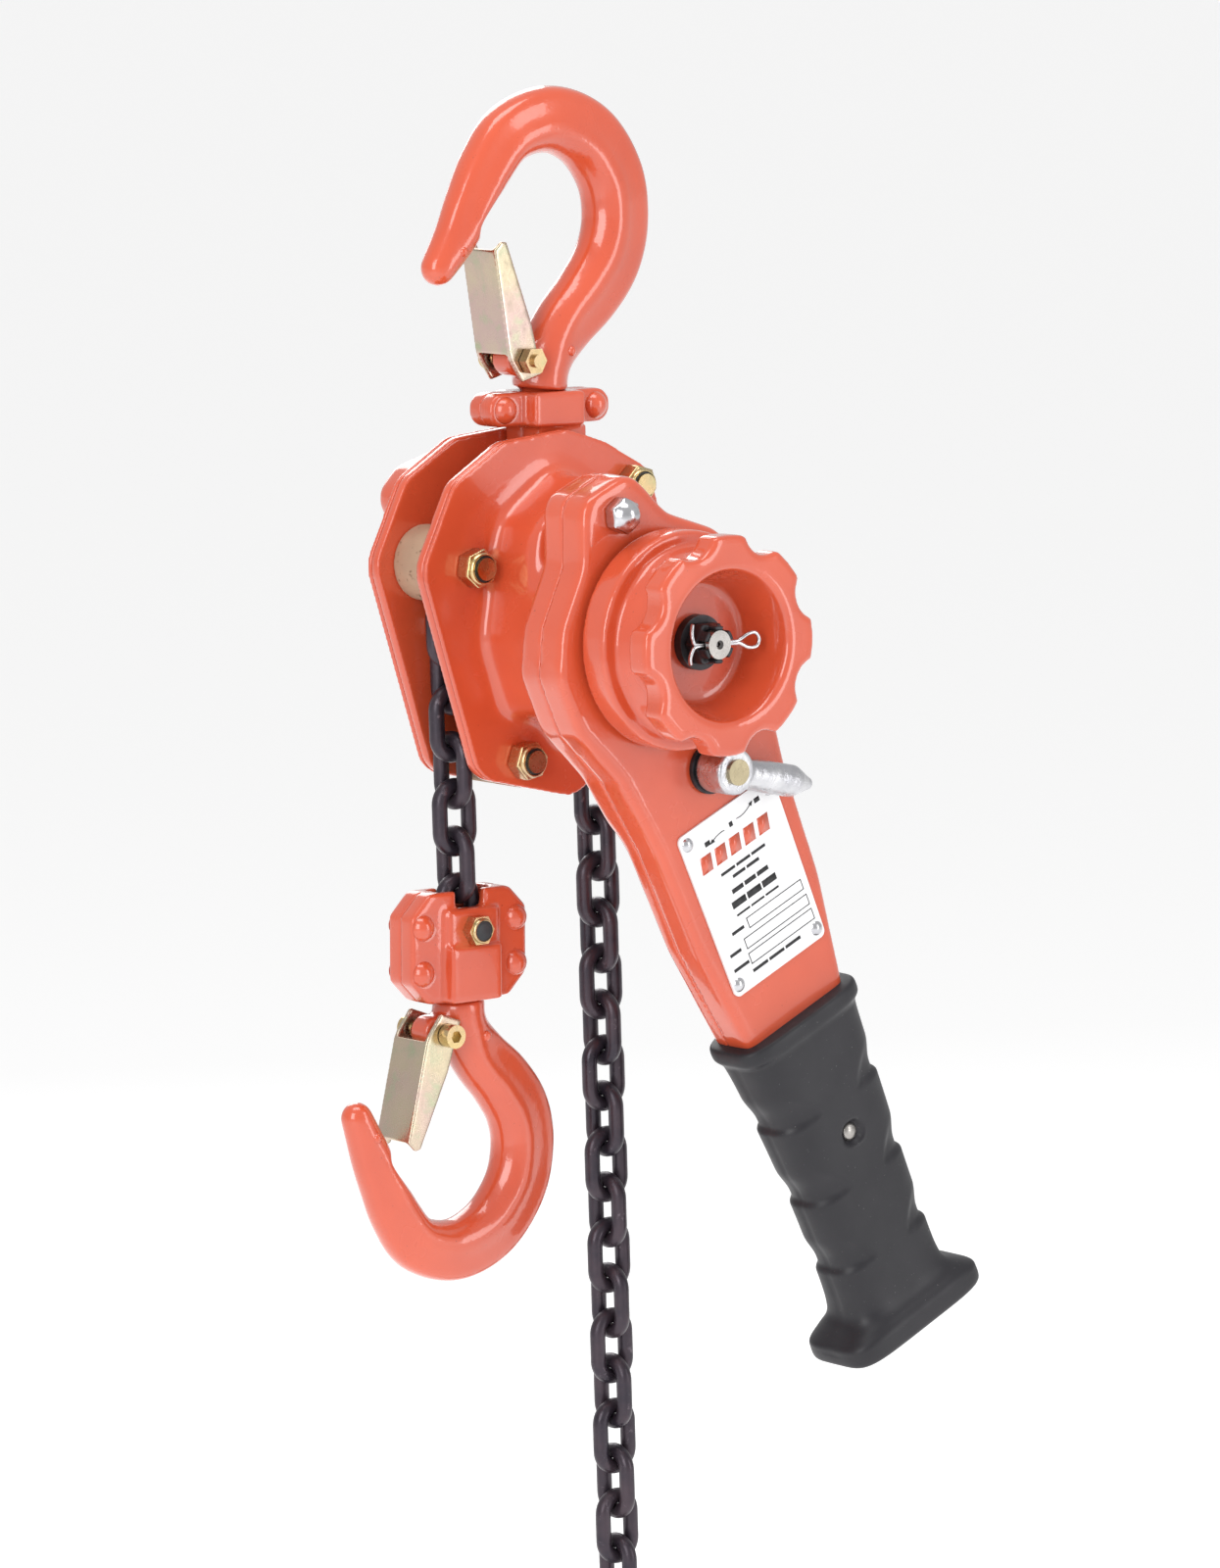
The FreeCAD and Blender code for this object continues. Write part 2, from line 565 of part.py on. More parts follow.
def stay_hardware():
    """Three stays hold the plates apart; the left one also guides the chain."""
    bolts = []
    nuts = []
    for i, (x, z) in enumerate(BOLTS):
        bx, bz = from_shaft(x, z)
        for side in (-1, 1):
            inner = GAP - 3.5 if i == 0 else 0.0
            bolts.append(cyl_y(BOLT_R, side * inner, side * (SKIN + NUT_H + 2.5), bx, bz))
            nut_turn = 20.0 + 25.0 * i
            nuts.append(hex_nut(bx, side * SKIN, side * (SKIN + NUT_H), bz, NUT_R, BOLT_R + 0.01, nut_turn))
    merged = bolts[:2] + [fused(bolts[2:4]), fused(bolts[4:6])]
    save("stay_bolts", *merged)
    save("stay_nuts", *nuts)
    bx, bz = from_shaft(*BOLTS[0])
    sleeve = cyl_y(13.5, -GAP, GAP, bx, bz)
    for side in (-1, 1):
        sleeve = sleeve.cut(cyl_y(BOLT_R + 0.01, side * (GAP - 3.5), side * GAP, bx, bz))
    sleeve = sleeve.cut(cyl_y(SHEAVE_R + 4.4, -GAP, GAP)).cut(cyl_y(SHEAVE_R + 10.2, -3.8, 3.8))
    sleeve = sleeve.cut(box(LOAD_X - 13, LOAD_X + 13, -3.8, 3.8, bz - 20, bz - 10.5))
    save("stay_sleeve", sleeve)
    spacers = []
    for (x, z), radius in zip(BOLTS[1:], SPACER_R):
        bx, bz = from_shaft(x, z)
        spacers.append(ring_y(radius, BOLT_R + 0.01, -GAP, GAP, bx, bz))
    save("stay_spacers", *spacers)
    save("top_pin", cyl_y(PIN_R, -GAP - PLATE, GAP + PLATE, 0.0, PIN_Z))


def chain_guides():
    """A bent strip over the slack side and the stripper that lifts links from the sheave."""
    inner = SHEAVE_R + 10.6
    strip = ring_y(inner + 1.8, inner, -GAP + 0.4, GAP - 0.4)
    wedge = [(0, 0)]
    for i in range(7):
        angle = math.radians(-22 + 11.5 * i)
        wedge.append((70 * math.cos(angle), 70 * math.sin(angle)))
    save("chain_guide", strip.common(prism(wedge, -GAP, GAP, 0.0, SHAFT_X, SHAFT_Z)))
    bx, bz = from_shaft(*BOLTS[2])
    nose = [(-20, -43), (-9, -38.8), (6, -38.8), (17, -42.5), (12, -58.5), (-8, -58.5), (-20, -56)]
    body = prism(nose, -GAP + 0.5, GAP - 0.5, 2.0, SHAFT_X, SHAFT_Z)
    save("chain_stripper", body.cut(cyl_y(SPACER_R[1] + 0.01, -GAP, GAP, bx, bz)))


POCKET_FLOOR = 26.4


def sheave():
    bearings = []
    for y0, y1 in ((-GAP - PLATE, -GAP), (GAP, GAP + PLATE)):
        bearings.append(ring_y(BEARING_R, HUB_R + FIT, y0, y1))
    save("sheave_bearings", *bearings)
    body = cyl_y(34.3, -GAP + 0.6, GAP - 0.6)
    groove = ring_y(60.0, SHEAVE_R - 10.6, -3.4, 3.4)
    body = body.cut(groove)
    for i in range(POCKETS):
        middle = 180.0 - CHAIN_PHASE - FLAT_TURN / 2 + 360.0 / POCKETS * i
        half = PITCH / 2 + WIRE + 0.4
        pocket = box(SHAFT_X + POCKET_FLOOR, SHAFT_X + 60.0, -GAP, GAP, SHAFT_Z - half, SHAFT_Z + half)
        body = body.cut(turned(pocket, middle))
    hub = cyl_y(HUB_R, -GAP - PLATE, LOAD_GEAR_Y[0])
    spline = prism(circle_points(11.0, 12), LOAD_GEAR_Y[0], LOAD_GEAR_Y[1] - 1.6, 0.0, SHAFT_X, SHAFT_Z)
    body = fused([body, hub, spline]).cut(cyl_y(6.2, -30, 40))
    snap = cyl_y(9.4, LOAD_GEAR_Y[1] - 1.7, LOAD_GEAR_Y[1] + 0.8).cut(cyl_y(6.2, -30, 40))
    save("load_sheave", fused([body, snap]))
    save("load_gear_ring", ring_y(11.5, 9.41, LOAD_GEAR_Y[1] - 0.4, LOAD_GEAR_Y[1] + 0.6))


# ---------------------------------------------------------------- gears
def involute_point(base, roll):
    radius = base * math.sqrt(1 + roll * roll)
    return radius, roll - math.atan(roll)


def gear(teeth, module, y0, y1, x, z, tip, root, first=0.0, thin=0.07):
    """A spur gear. tip and root are given in modules, first is the angle of one tooth."""
    pitch_r = teeth * module / 2
    base = pitch_r * math.cos(math.radians(20))
    tip_r = pitch_r + tip * module
    root_r = pitch_r - root * module
    roll_pitch = math.tan(math.radians(20))
    half = math.pi / teeth / 2 - thin * module / pitch_r
    offset = half + roll_pitch - math.radians(20)
    roll_tip = math.sqrt(max((tip_r / base) ** 2 - 1, 0))
    flank = []
    steps = 4
    for i in range(steps + 1):
        radius, angle = involute_point(base, roll_tip * i / steps)
        if radius > root_r:
            flank.append((radius, max(offset - angle, 0.02)))
    if base > root_r:
        flank.insert(0, (root_r, offset))
    points = []
    for k in range(teeth):
        centre = math.radians(first) + 2 * math.pi * k / teeth
        for radius, angle in flank:
            points.append((radius * math.cos(centre - angle), radius * math.sin(centre - angle)))
        for radius, angle in reversed(flank):
            points.append((radius * math.cos(centre + angle), radius * math.sin(centre + angle)))
    return prism(points, y0, y1, 0.0, x, z)


def gears():
    first_module = 2 * GEAR_CENTRE / (PINION_TEETH + WHEEL_TEETH)
    second_module = 2 * GEAR_CENTRE / (PINION_TEETH + LOAD_TEETH)
    half_wheel = 180.0 / WHEEL_TEETH
    half_load = 180.0 / LOAD_TEETH
    for name, sign in (("reduction_gear_a", 1), ("reduction_gear_b", -1)):
        gx, gz = gear_spot(sign)
        wheel = gear(WHEEL_TEETH, first_module, WHEEL_GEAR_Y[0], WHEEL_GEAR_Y[1], gx, gz, 0.5, 1.05,
                     GEAR_ANGLE + half_wheel)
        small = gear(PINION_TEETH, second_module, LOAD_GEAR_Y[0] - 0.3, WHEEL_GEAR_Y[0], gx, gz, 0.8, 0.75,
                     GEAR_ANGLE)
        axle = cyl_y(3.0, GAP + 0.5, GEAR_COVER_Y - 1.8, gx, gz)
        save(name, fused([wheel, small, axle]))
    load = gear(LOAD_TEETH, second_module, LOAD_GEAR_Y[0], LOAD_GEAR_Y[1] - 1.7, SHAFT_X, SHAFT_Z, 0.5, 1.05,
                GEAR_ANGLE + half_load)
    bore = prism(circle_points(11.02, 12), LOAD_GEAR_Y[0], LOAD_GEAR_Y[1], 0.0, SHAFT_X, SHAFT_Z)
    save("load_gear", load.cut(bore))
    pinion = gear(PINION_TEETH, first_module, WHEEL_GEAR_Y[0] - 0.3, WHEEL_GEAR_Y[1] + 0.3, SHAFT_X, SHAFT_Z,
                  0.8, 0.75, GEAR_ANGLE)
    neck = cyl_y(3.4, WHEEL_GEAR_Y[0] - 3, WHEEL_GEAR_Y[1] + 2)
    tail = cyl_y(4.0, WHEEL_GEAR_Y[1] + 1, GEAR_COVER_Y - 1.8)
    body = cyl_y(6.0, WHEEL_GEAR_Y[0] - 0.9, -17.0)
    flange = cyl_y(22.0, -17.0, -20.5)
    thread = cyl_y(8.0, -20.5, -56.0)
    nose = cyl_y(5.0, -56.0, WHEEL_FRONT + 6.0)
    slot = cyl_y(1.6, -200, 200, SHAFT_X, SHAFT_Z)
    pin_hole = Part.makeCylinder(1.3, 20, at(SHAFT_X - 10, COTTER_Y, SHAFT_Z), at(1, 0, 0))
    shaft = fused([pinion, neck, tail, body, flange, thread, nose])
    mark = slot.common(box(-60, 60, WHEEL_FRONT, WHEEL_FRONT + 8.0, -300, 0))
    save("pinion_shaft", shaft.cut(pin_hole).cut(mark))


# ---------------------------------------------------------------- brake
COTTER_Y = -105.6
RATCHET_R = 23.0
RATCHET_TEETH = 18
RATCHET_Y = (-23.6, -28.6)
PAWL_PINS = [(20.5, 27.5), (12.0, -32.0)]
PAWL_DIRECTION = [191.9, 69.2]
PAWL_REACH = 15.0


def ratchet_points(outer, inner, teeth, turn=0.0):
    points = []
    for i in range(teeth):
        angle = math.radians(turn + 360.0 * i / teeth)
        drop = math.radians(turn + 360.0 * (i + 0.12) / teeth)
        points.append((outer * math.cos(angle), outer * math.sin(angle)))
        points.append((inner * math.cos(drop), inner * math.sin(drop)))
    return points


def pawl_shape(i):
    """A pawl from its pin to a nose just outside the ratchet teeth."""
    x, z = PAWL_PINS[i]
    px, pz = from_shaft(x, z)
    angle = math.radians(PAWL_DIRECTION[i])
    along = (math.cos(angle), math.sin(angle))
    side = (-along[1], along[0])
    bar = []
    for reach, half in ((0, 3.5), (PAWL_REACH, 1.4), (PAWL_REACH, -1.4), (0, -3.5)):
        bar.append((x + reach * along[0] + half * side[0], z + reach * along[1] + half * side[1]))
    return fused([cyl_y(4.6, -23.6, -28.4, px, pz), prism(bar, -23.6, -28.4, 0.0, SHAFT_X, SHAFT_Z)])


def brake():
    disc = prism(ratchet_points(RATCHET_R, RATCHET_R - 2.8, RATCHET_TEETH), RATCHET_Y[0], RATCHET_Y[1],
                 0.0, SHAFT_X, SHAFT_Z)
    save("ratchet_disc", disc.cut(cyl_y(10.5, -40, 0)))
    discs = []
    for y0, y1 in ((-20.8, -23.4), (-28.8, -31.4)):
        discs.append(ring_y(19.0, 10.5, y0, y1))
    save("friction_discs", *discs)
    pins = []
    springs = []
    for i, (x, z) in enumerate(PAWL_PINS):
        px, pz = from_shaft(x, z)
        pins.append(cyl_y(2.5, -GAP - 0.5, -33.0, px, pz))
        springs.append(ring_y(4.4, 2.9, -28.9, -32.5, px, pz))
        pawl = pawl_shape(i).cut(cyl_y(2.5 + FIT, -40, 0, px, pz))
        save("pawl_upper" if i == 0 else "pawl_lower", pawl)
    save("pawl_pins", *pins)
    save("pawl_springs", *springs)
    save("brake_hub", ring_y(10.2, 8.01, -20.6, -31.6))


def change_gear():
    """The nut of the brake screw, with the teeth that the lever drives."""
    flange = cyl_y(20.0, -31.8, -36.0)
    neck = cyl_y(14.0, -35.9, -57.5)
    reach = CHANGE_REACH * math.sin(math.radians(CHANGE_IN))
    depth = SELECTOR_AT - CHANGE_REACH * math.cos(math.radians(CHANGE_IN))
    gap_angle = LEVER_ANGLE - 90.0 + math.degrees(math.atan2(reach, depth)) + CHANGE_LEAD
    teeth = gear(CHANGE_TEETH, CHANGE_MODULE, -57.5, -68.0, SHAFT_X, SHAFT_Z, 0.8, 1.0,
                 gap_angle + 180.0 / CHANGE_TEETH)
    nose = cyl_y(11.0, -67.9, WHEEL_BACK - 2.0)
    body = fused([flange, neck, teeth, nose])
    save("change_gear", body.cut(cyl_y(8.0 + FIT, -30, -56.2)).cut(cyl_y(5.0 + FIT, -55, -90)))


# ---------------------------------------------------------------- handwheel
def handwheel():
    """Drum, neck and scalloped rim in one casting, hollowed by a deep bowl."""
    drum = cyl_y(38.3, WHEEL_BACK, WHEEL_BACK - 12.4)
    neck = Part.makeCone(33.0, 29.8, 13.0, at(SHAFT_X, WHEEL_BACK - 12.0, SHAFT_Z), at(0, -1, 0))
    rim = cyl_y(WHEEL_R, WHEEL_FRONT, WHEEL_FRONT + 10.0)
    scallop_r = 9.5
    depth = 4.6
    for i in range(WHEEL_LOBES):
        angle = math.radians(360.0 * (i + 0.5) / WHEEL_LOBES)
        reach = WHEEL_R + scallop_r - depth
        rim = rim.cut(cyl_y(scallop_r, WHEEL_FRONT - 1, WHEEL_FRONT + 11, SHAFT_X + reach * math.cos(angle),
                            SHAFT_Z + reach * math.sin(angle)))
    bowl = Part.makeCone(21.0, BOWL_R, 20.0, at(SHAFT_X, WHEEL_FRONT + 19.0, SHAFT_Z), at(0, -1, 0))
    body = fused([drum, neck, rim]).cut(bowl)
    hollow = ring_y(32.5, 15.0, WHEEL_BACK + 1, WHEEL_BACK - 9.0)
    body = body.cut(hollow).cut(cyl_y(5.0 + FIT, -120, -70))
    body = body.cut(cyl_y(11.01, WHEEL_BACK + 1, WHEEL_BACK - 2.0))
    save("handwheel", body)


def shaft_end():
    washer = ring_y(9.6, 5.01, WHEEL_FRONT + 18.9, WHEEL_FRONT + 15.6)
    save("stopper_washer", washer)
    back = WHEEL_FRONT + 15.5
    nut = prism(circle_points(8.0, 6), back, back - 5.2, 0.0, SHAFT_X, SHAFT_Z)
    crown = cyl_y(6.6, back - 5.1, back - 9.4)
    nut = fused([nut, crown])
    for i in range(3):
        slot = box(SHAFT_X - 10, SHAFT_X + 10, back - 10, back - 5.1, SHAFT_Z - 1.35, SHAFT_Z + 1.35)
        nut = nut.cut(turned(slot, 60 * i))
    save("castle_nut", nut.cut(cyl_y(5.01, -130, -60)))
    wire = 1.2
    shank = Part.makeCylinder(wire, 21.5, at(SHAFT_X - 9.3, COTTER_Y, SHAFT_Z), at(1, 0, 0))
    eye = Part.makeTorus(2.6, wire - 0.3, at(SHAFT_X + 14.2, COTTER_Y, SHAFT_Z), at(0, 0.5, 1))
    legs = []
    for side in (-1, 1):
        start = at(SHAFT_X - 8.6, COTTER_Y, SHAFT_Z)
        legs.append(Part.makeCylinder(0.8, 6.5, start, at(0.1, -0.15, side)))
    save("cotter_pin", fused([shank, eye] + legs))


# ---------------------------------------------------------------- lever
LEVER_POINTS = [(-12, 59), (12, 59), (21, 38), (38, 23), (46.5, 8), (46.5, -14), (37, -38),
                (32.5, -70), (30.8, -112), (24.5, -154), (18, -165), (17.5, -215), (-17.5, -215),
                (-18, -165), (-24.5, -154), (-30.8, -112), (-32.5, -70), (-37, -38), (-46.5, -14),
                (-46.5, 8), (-38, 23), (-21, 38)]
HEAD_POINTS = [(-12, 59), (12, 59), (21, 38), (38, 23), (46.5, 8), (46.5, -14), (37, -38),
               (33.5, -58), (24, -84), (-24, -84), (-33.5, -58), (-37, -38), (-46.5, -14), (-46.5, 8),
               (-38, 23), (-21, 38)]
ARM_BACK = -58.5
WALL = 2.6


def shrunk(points, by):
    """The outline moved inwards along the bisector of each corner."""
    result = []
    count = len(points)
    for i, (x, z) in enumerate(points):
        ax, az = points[i - 1]
        bx, bz = points[(i + 1) % count]
        tx, tz = bx - ax, bz - az
        size = math.hypot(tx, tz)
        nx, nz = tz / size, -tx / size
        if nx * x + nz * z > 0 and abs(z) < 500:
            nx, nz = -nx, -nz
        result.append((x + nx * by, z + nz * by))
    return result


def lever():
    """Two pressed shells, back to back, with the change gear and its pawl between them."""
    def pan(points, y_closed):
        step = WALL if y_closed > LEVER_SPLIT else -WALL
        outer = prism(points, LEVER_SPLIT, y_closed, 9.0, SHAFT_X, SHAFT_Z)
        inner = prism(shrunk(points, WALL), LEVER_SPLIT, y_closed - step, 7.0, SHAFT_X, SHAFT_Z)
        return outer, inner
    arm, arm_room = pan(LEVER_POINTS, ARM_BACK)
    head, head_room = pan(HEAD_POINTS, LEVER_BACK)
    face, face_room = pan(LEVER_POINTS, LEVER_FACE)
    inner_shell = fused([arm, head]).cut(arm_room).cut(head_room).cut(cyl_y(16.5, -90, -40))
    outer_shell = face.cut(face_room).cut(cyl_y(13.0, -90, -40))
    ear_x, ear_z = SHAFT_X, SHAFT_Z + EAR_AT
    inner_shell = inner_shell.cut(cyl_y(3.0, -90, -40, ear_x, ear_z))
    outer_shell = outer_shell.cut(cyl_y(3.0, -90, -40, ear_x, ear_z))
    bolt = fused([cyl_y(3.0, LEVER_BACK, LEVER_FACE, ear_x, ear_z),
                  prism(circle_points(5.8, 6), LEVER_BACK, LEVER_BACK + 1.6, 0.0, ear_x, ear_z),
                  cyl_y(5.5, LEVER_BACK - WALL, LEVER_FACE + WALL, ear_x, ear_z)])
    cap = fused([prism(circle_points(6.6, 6, 12), LEVER_FACE, LEVER_FACE - 5.0, 0.0, ear_x, ear_z),
                 dome_rivet(ear_x, LEVER_FACE - 5.0, ear_z, 5.5, 3.6, -1)])
    sx, sz = SHAFT_X, SHAFT_Z - SELECTOR_AT
    inner_shell = inner_shell.cut(cyl_y(4.0 + FIT, -60, -40, sx, sz))
    outer_shell = outer_shell.cut(cyl_y(6.0 + FIT, -90, -70, sx, sz))
    for name, shape in (("lever_inner_shell", inner_shell), ("lever_outer_shell", outer_shell),
                        ("lever_ear_bolt", bolt), ("lever_cap_nut", cap)):
        save(name, turned(shape, LEVER_ANGLE))


def selector():
    """The hand selector on the face of the lever, and the pawl spindle under it."""
    sx, sz = SHAFT_X, SHAFT_Z - SELECTOR_AT
    washer = ring_y(9.0, 6.0 + CLEAR, LEVER_FACE - 0.1, LEVER_FACE - 1.5, sx, sz)
    save("selector_washer", turned(washer, LEVER_ANGLE))
    hub = cyl_y(8.2, LEVER_FACE - 1.7, LEVER_FACE - 15.0, sx, sz)
    spindle = cyl_y(6.0, LEVER_FACE - 1.7, -68.5, sx, sz)
    down = at(0, 0, -1)
    line = LEVER_FACE - 8.2
    finger = Part.makeCone(5.2, 5.8, FINGER_NECK, at(sx, line, sz), down)
    bullet = Part.makeCylinder(5.8, FINGER_BULLET, at(sx, line, sz - FINGER_NECK), down)
    shoulder = sz - FINGER_NECK - FINGER_BULLET
    tip = Part.makeCone(5.8, 2.4, FINGER_TIP, at(sx, line, shoulder), down)
    ball = Part.makeSphere(2.6, at(sx, line, shoulder - FINGER_TIP + 0.4))
    lever_piece = fused([hub, spindle, finger, bullet, tip, ball])
    save("selector_lever", turned(turned(lever_piece, SELECTOR_REST, sx, sz), LEVER_ANGLE))
    rivet = cyl_y(4.6, LEVER_FACE - 15.0, LEVER_FACE - 16.2, sx, sz)
    save("selector_rivet", turned(rivet, LEVER_ANGLE))
    save_change_pawl(sx, sz)


def save_change_pawl(sx, sz):
    """The driving pawl, drawn with its nose riding just outside the change gear."""
    y0, y1 = -58.0, -67.8
    body = cyl_y(7.0, y0, y1, sx, sz)
    spindle = cyl_y(4.0, LEVER_BACK + 0.3, y0, sx, sz)
    nose = [(-6.0, 0), (6.0, 0), (2.6, CHANGE_REACH - 7.0), (1.0, CHANGE_REACH), (-1.0, CHANGE_REACH),
            (-2.6, CHANGE_REACH - 7.0)]
    blade = turned(prism(nose, y0, y1, 0.0, sx, sz), -CHANGE_OUT, sx, sz)
    save("change_pawl", turned(fused([body, spindle, blade]), LEVER_ANGLE))


CHANGE_REACH = 37.0             # pivot to nose of the driving pawl
CHANGE_OUT = 16.0               # degrees off the arm with the nose clear of the teeth
CHANGE_IN = 8.7                 # and with the nose in a tooth gap
CHANGE_LEAD = 1.8               # middle of the gap past the seated nose
SELECTOR_REST = 54.0            # finger from the arm, at the lowering detent
FINGER_NECK = 20.0
FINGER_BULLET = 12.0
FINGER_TIP = 7.0


def nameplate():
    """A blank rating plate with four rivets."""
    near = 67.5
    far = 132.5
    face = LEVER_FACE
    plate = prism([(-24, -near), (24, -near), (23, -far), (-23, -far)], face - 0.1, face - 0.9, 2.5,
                  SHAFT_X, SHAFT_Z)
    rivets = []
    for x, z in ((-20.5, -near - 4), (20.5, -near - 4), (-20, -far + 4), (20, -far + 4)):
        rx, rz = from_shaft(x, z)
        plate = plate.cut(cyl_y(1.5, -90, -70, rx, rz))
        rivets.append(fused([cyl_y(1.5, face - 0.05, face - 0.9, rx, rz),
                             dome_rivet(rx, face - 0.9, rz, 2.6, 1.3, -1)]))
    save("nameplate", turned(plate, LEVER_ANGLE))
    save("nameplate_rivets", *[turned(r, LEVER_ANGLE) for r in rivets])


def grip():
    """A rubber sleeve over the arm, with a hand stop at each end."""
    def band(half_x, half_y, z, set_over):
        flat = [(-half_x, -half_y), (half_x, -half_y), (half_x, half_y), (-half_x, half_y)]
        wire = rounded_wire(flat, 8.5, 0.0)
        wire.rotate(at(0, 0, 0), at(1, 0, 0), 90)
        wire.translate(at(SHAFT_X + set_over, GRIP_Y, z))
        return wire
    rows = [(29, 14.5, 152.5, 0), (29.5, 15, 155.5, 0), (27.5, 14.5, 162, 0.3), (26.5, 14, 174, 1.0),
            (25, 13.5, 200, 2.0), (23.5, 13.2, 226, 2.4), (22.8, 13.2, 254, 2.6), (25, 14.5, 269, 2.6),
            (33.5, 17.5, 277, 2.6), (33.5, 17.5, LEVER_END, 2.6)]
    body = Part.makeLoft([band(a, b, SHAFT_Z - down, over) for a, b, down, over in rows], True, True)
    sleeve = [(-24.9, -145), (24.9, -145), (25.2, -154.5), (18.9, -165.5), (17.8, -215.3), (-17.8, -215.3),
              (-18.9, -165.5), (-25.2, -154.5)]
    arm = prism(sleeve, ARM_BACK + 0.05, LEVER_FACE - 0.05, 0.0, SHAFT_X, SHAFT_Z)
    save("lever_grip", turned(body.cut(arm), LEVER_ANGLE))


def build():
    os.makedirs("parts", exist_ok=True)
    hooks()
    top_yoke()
    side_plates()
    brake_cover()
    gear_cover()
    stay_hardware()
    chain_guides()
    sheave()
    gears()
    brake()
    change_gear()
    handwheel()
    shaft_end()
    lever()
    selector()
    nameplate()
    grip()
    chain_over_sheave()
    load_chain()
    slack_chain()
    bottom_block()


build()
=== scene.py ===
"""Looks of the lever chain hoist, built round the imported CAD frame. Metres, +Z up."""
import json
import math

import bmesh
import bpy
import numpy as np
from mathutils import Matrix, Vector


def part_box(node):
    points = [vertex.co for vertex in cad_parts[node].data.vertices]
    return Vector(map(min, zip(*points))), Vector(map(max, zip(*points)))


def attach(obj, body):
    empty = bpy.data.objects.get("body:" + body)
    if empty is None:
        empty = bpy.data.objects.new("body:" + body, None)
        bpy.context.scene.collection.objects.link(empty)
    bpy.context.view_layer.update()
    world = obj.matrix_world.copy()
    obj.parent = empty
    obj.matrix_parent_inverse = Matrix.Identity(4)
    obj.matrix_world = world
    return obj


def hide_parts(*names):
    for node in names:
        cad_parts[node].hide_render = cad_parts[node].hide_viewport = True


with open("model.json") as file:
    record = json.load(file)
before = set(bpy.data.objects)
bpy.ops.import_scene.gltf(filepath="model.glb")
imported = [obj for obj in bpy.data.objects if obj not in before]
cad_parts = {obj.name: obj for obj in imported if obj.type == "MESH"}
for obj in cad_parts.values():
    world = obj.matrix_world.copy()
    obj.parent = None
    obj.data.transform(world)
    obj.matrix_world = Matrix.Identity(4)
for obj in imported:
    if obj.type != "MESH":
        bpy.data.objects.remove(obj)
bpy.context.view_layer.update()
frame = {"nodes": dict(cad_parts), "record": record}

MM = 0.001
BODY_OF = {}
for body_name, node_names in frame["record"]["behaviour"]["bodies"].items():
    for node_name in node_names:
        BODY_OF[node_name] = body_name


# ---------------------------------------------------------------- camera, floor and light
CAMERA_AZIMUTH = math.radians(-40.03)
CAMERA_ELEVATION = math.radians(7.5)
CAMERA_ROLL = math.radians(-0.075)
CAMERA_DISTANCE = 2.415
CAMERA_TARGET = Vector((0.0, -0.035, -0.221))
CAMERA_LENS = 157.04
CAMERA_SENSOR = 36.0
FLOOR_Z = -0.70
FLOOR_RADIUS = 80.0
FLOOR_GLOW = 0.3
WORLD_STRENGTH = 0.66
LIGHT_AIM = (0.0, -0.03, -0.2)
# Name, place, width, height and power of each soft box.
LIGHTS = (("key_left", (-1.5, -0.9, 0.35), 0.8, 1.3, 15.0), ("fill_right", (0.9, -1.7, 0.1), 0.5, 1.4, 7.5),
          ("top_box", (-0.2, -0.3, 1.2), 1.1, 0.6, 9.0), ("back_edge", (0.6, 1.3, 0.6), 0.8, 1.0, 8.0))


def make_camera():
    data = bpy.data.cameras.new("camera")
    data.lens = CAMERA_LENS
    data.sensor_width = CAMERA_SENSOR
    data.clip_start = 0.05
    data.clip_end = 200.0
    camera = bpy.data.objects.new("camera", data)
    bpy.context.scene.collection.objects.link(camera)
    level = math.cos(CAMERA_ELEVATION)
    back = Vector((math.sin(CAMERA_AZIMUTH) * level, -math.cos(CAMERA_AZIMUTH) * level,
                   math.sin(CAMERA_ELEVATION)))
    right = Vector((math.cos(CAMERA_AZIMUTH), math.sin(CAMERA_AZIMUTH), 0.0))
    up = back.cross(right)
    rolled_right = right * math.cos(CAMERA_ROLL) + up * math.sin(CAMERA_ROLL)
    rolled_up = up * math.cos(CAMERA_ROLL) - right * math.sin(CAMERA_ROLL)
    turn = Matrix((rolled_right, rolled_up, back)).transposed().to_4x4()
    camera.matrix_world = Matrix.Translation(CAMERA_TARGET + back * CAMERA_DISTANCE) @ turn
    bpy.context.scene.camera = camera


def make_floor():
    mesh = bpy.data.meshes.new("studio_floor")
    bm = bmesh.new()
    bmesh.ops.create_circle(bm, cap_ends=True, segments=96, radius=FLOOR_RADIUS)
    bm.to_mesh(mesh)
    bm.free()
    floor = bpy.data.objects.new("studio_floor", mesh)
    bpy.context.scene.collection.objects.link(floor)
    floor.location.z = FLOOR_Z
    paint = bpy.data.materials.new("studio_floor")
    paint.use_nodes = True
    shader = paint.node_tree.nodes["Principled BSDF"]
    shader.inputs["Base Color"].default_value = (0.92, 0.92, 0.92, 1.0)
    shader.inputs["Roughness"].default_value = 0.9
    shader.inputs["Specular IOR Level"].default_value = 0.1
    shader.inputs["Emission Color"].default_value = (1.0, 1.0, 1.0, 1.0)
    shader.inputs["Emission Strength"].default_value = FLOOR_GLOW
    mesh.materials.append(paint)


def make_light(name, place, width, height, power):
    data = bpy.data.lights.new(name, "AREA")
    data.shape = "RECTANGLE"
    data.size = width
    data.size_y = height
    data.energy = power
    lamp = bpy.data.objects.new(name, data)
    bpy.context.scene.collection.objects.link(lamp)
    lamp.location = place
    lamp.rotation_mode = "QUATERNION"
    lamp.rotation_quaternion = (Vector(LIGHT_AIM) - Vector(place)).to_track_quat("-Z", "Y")


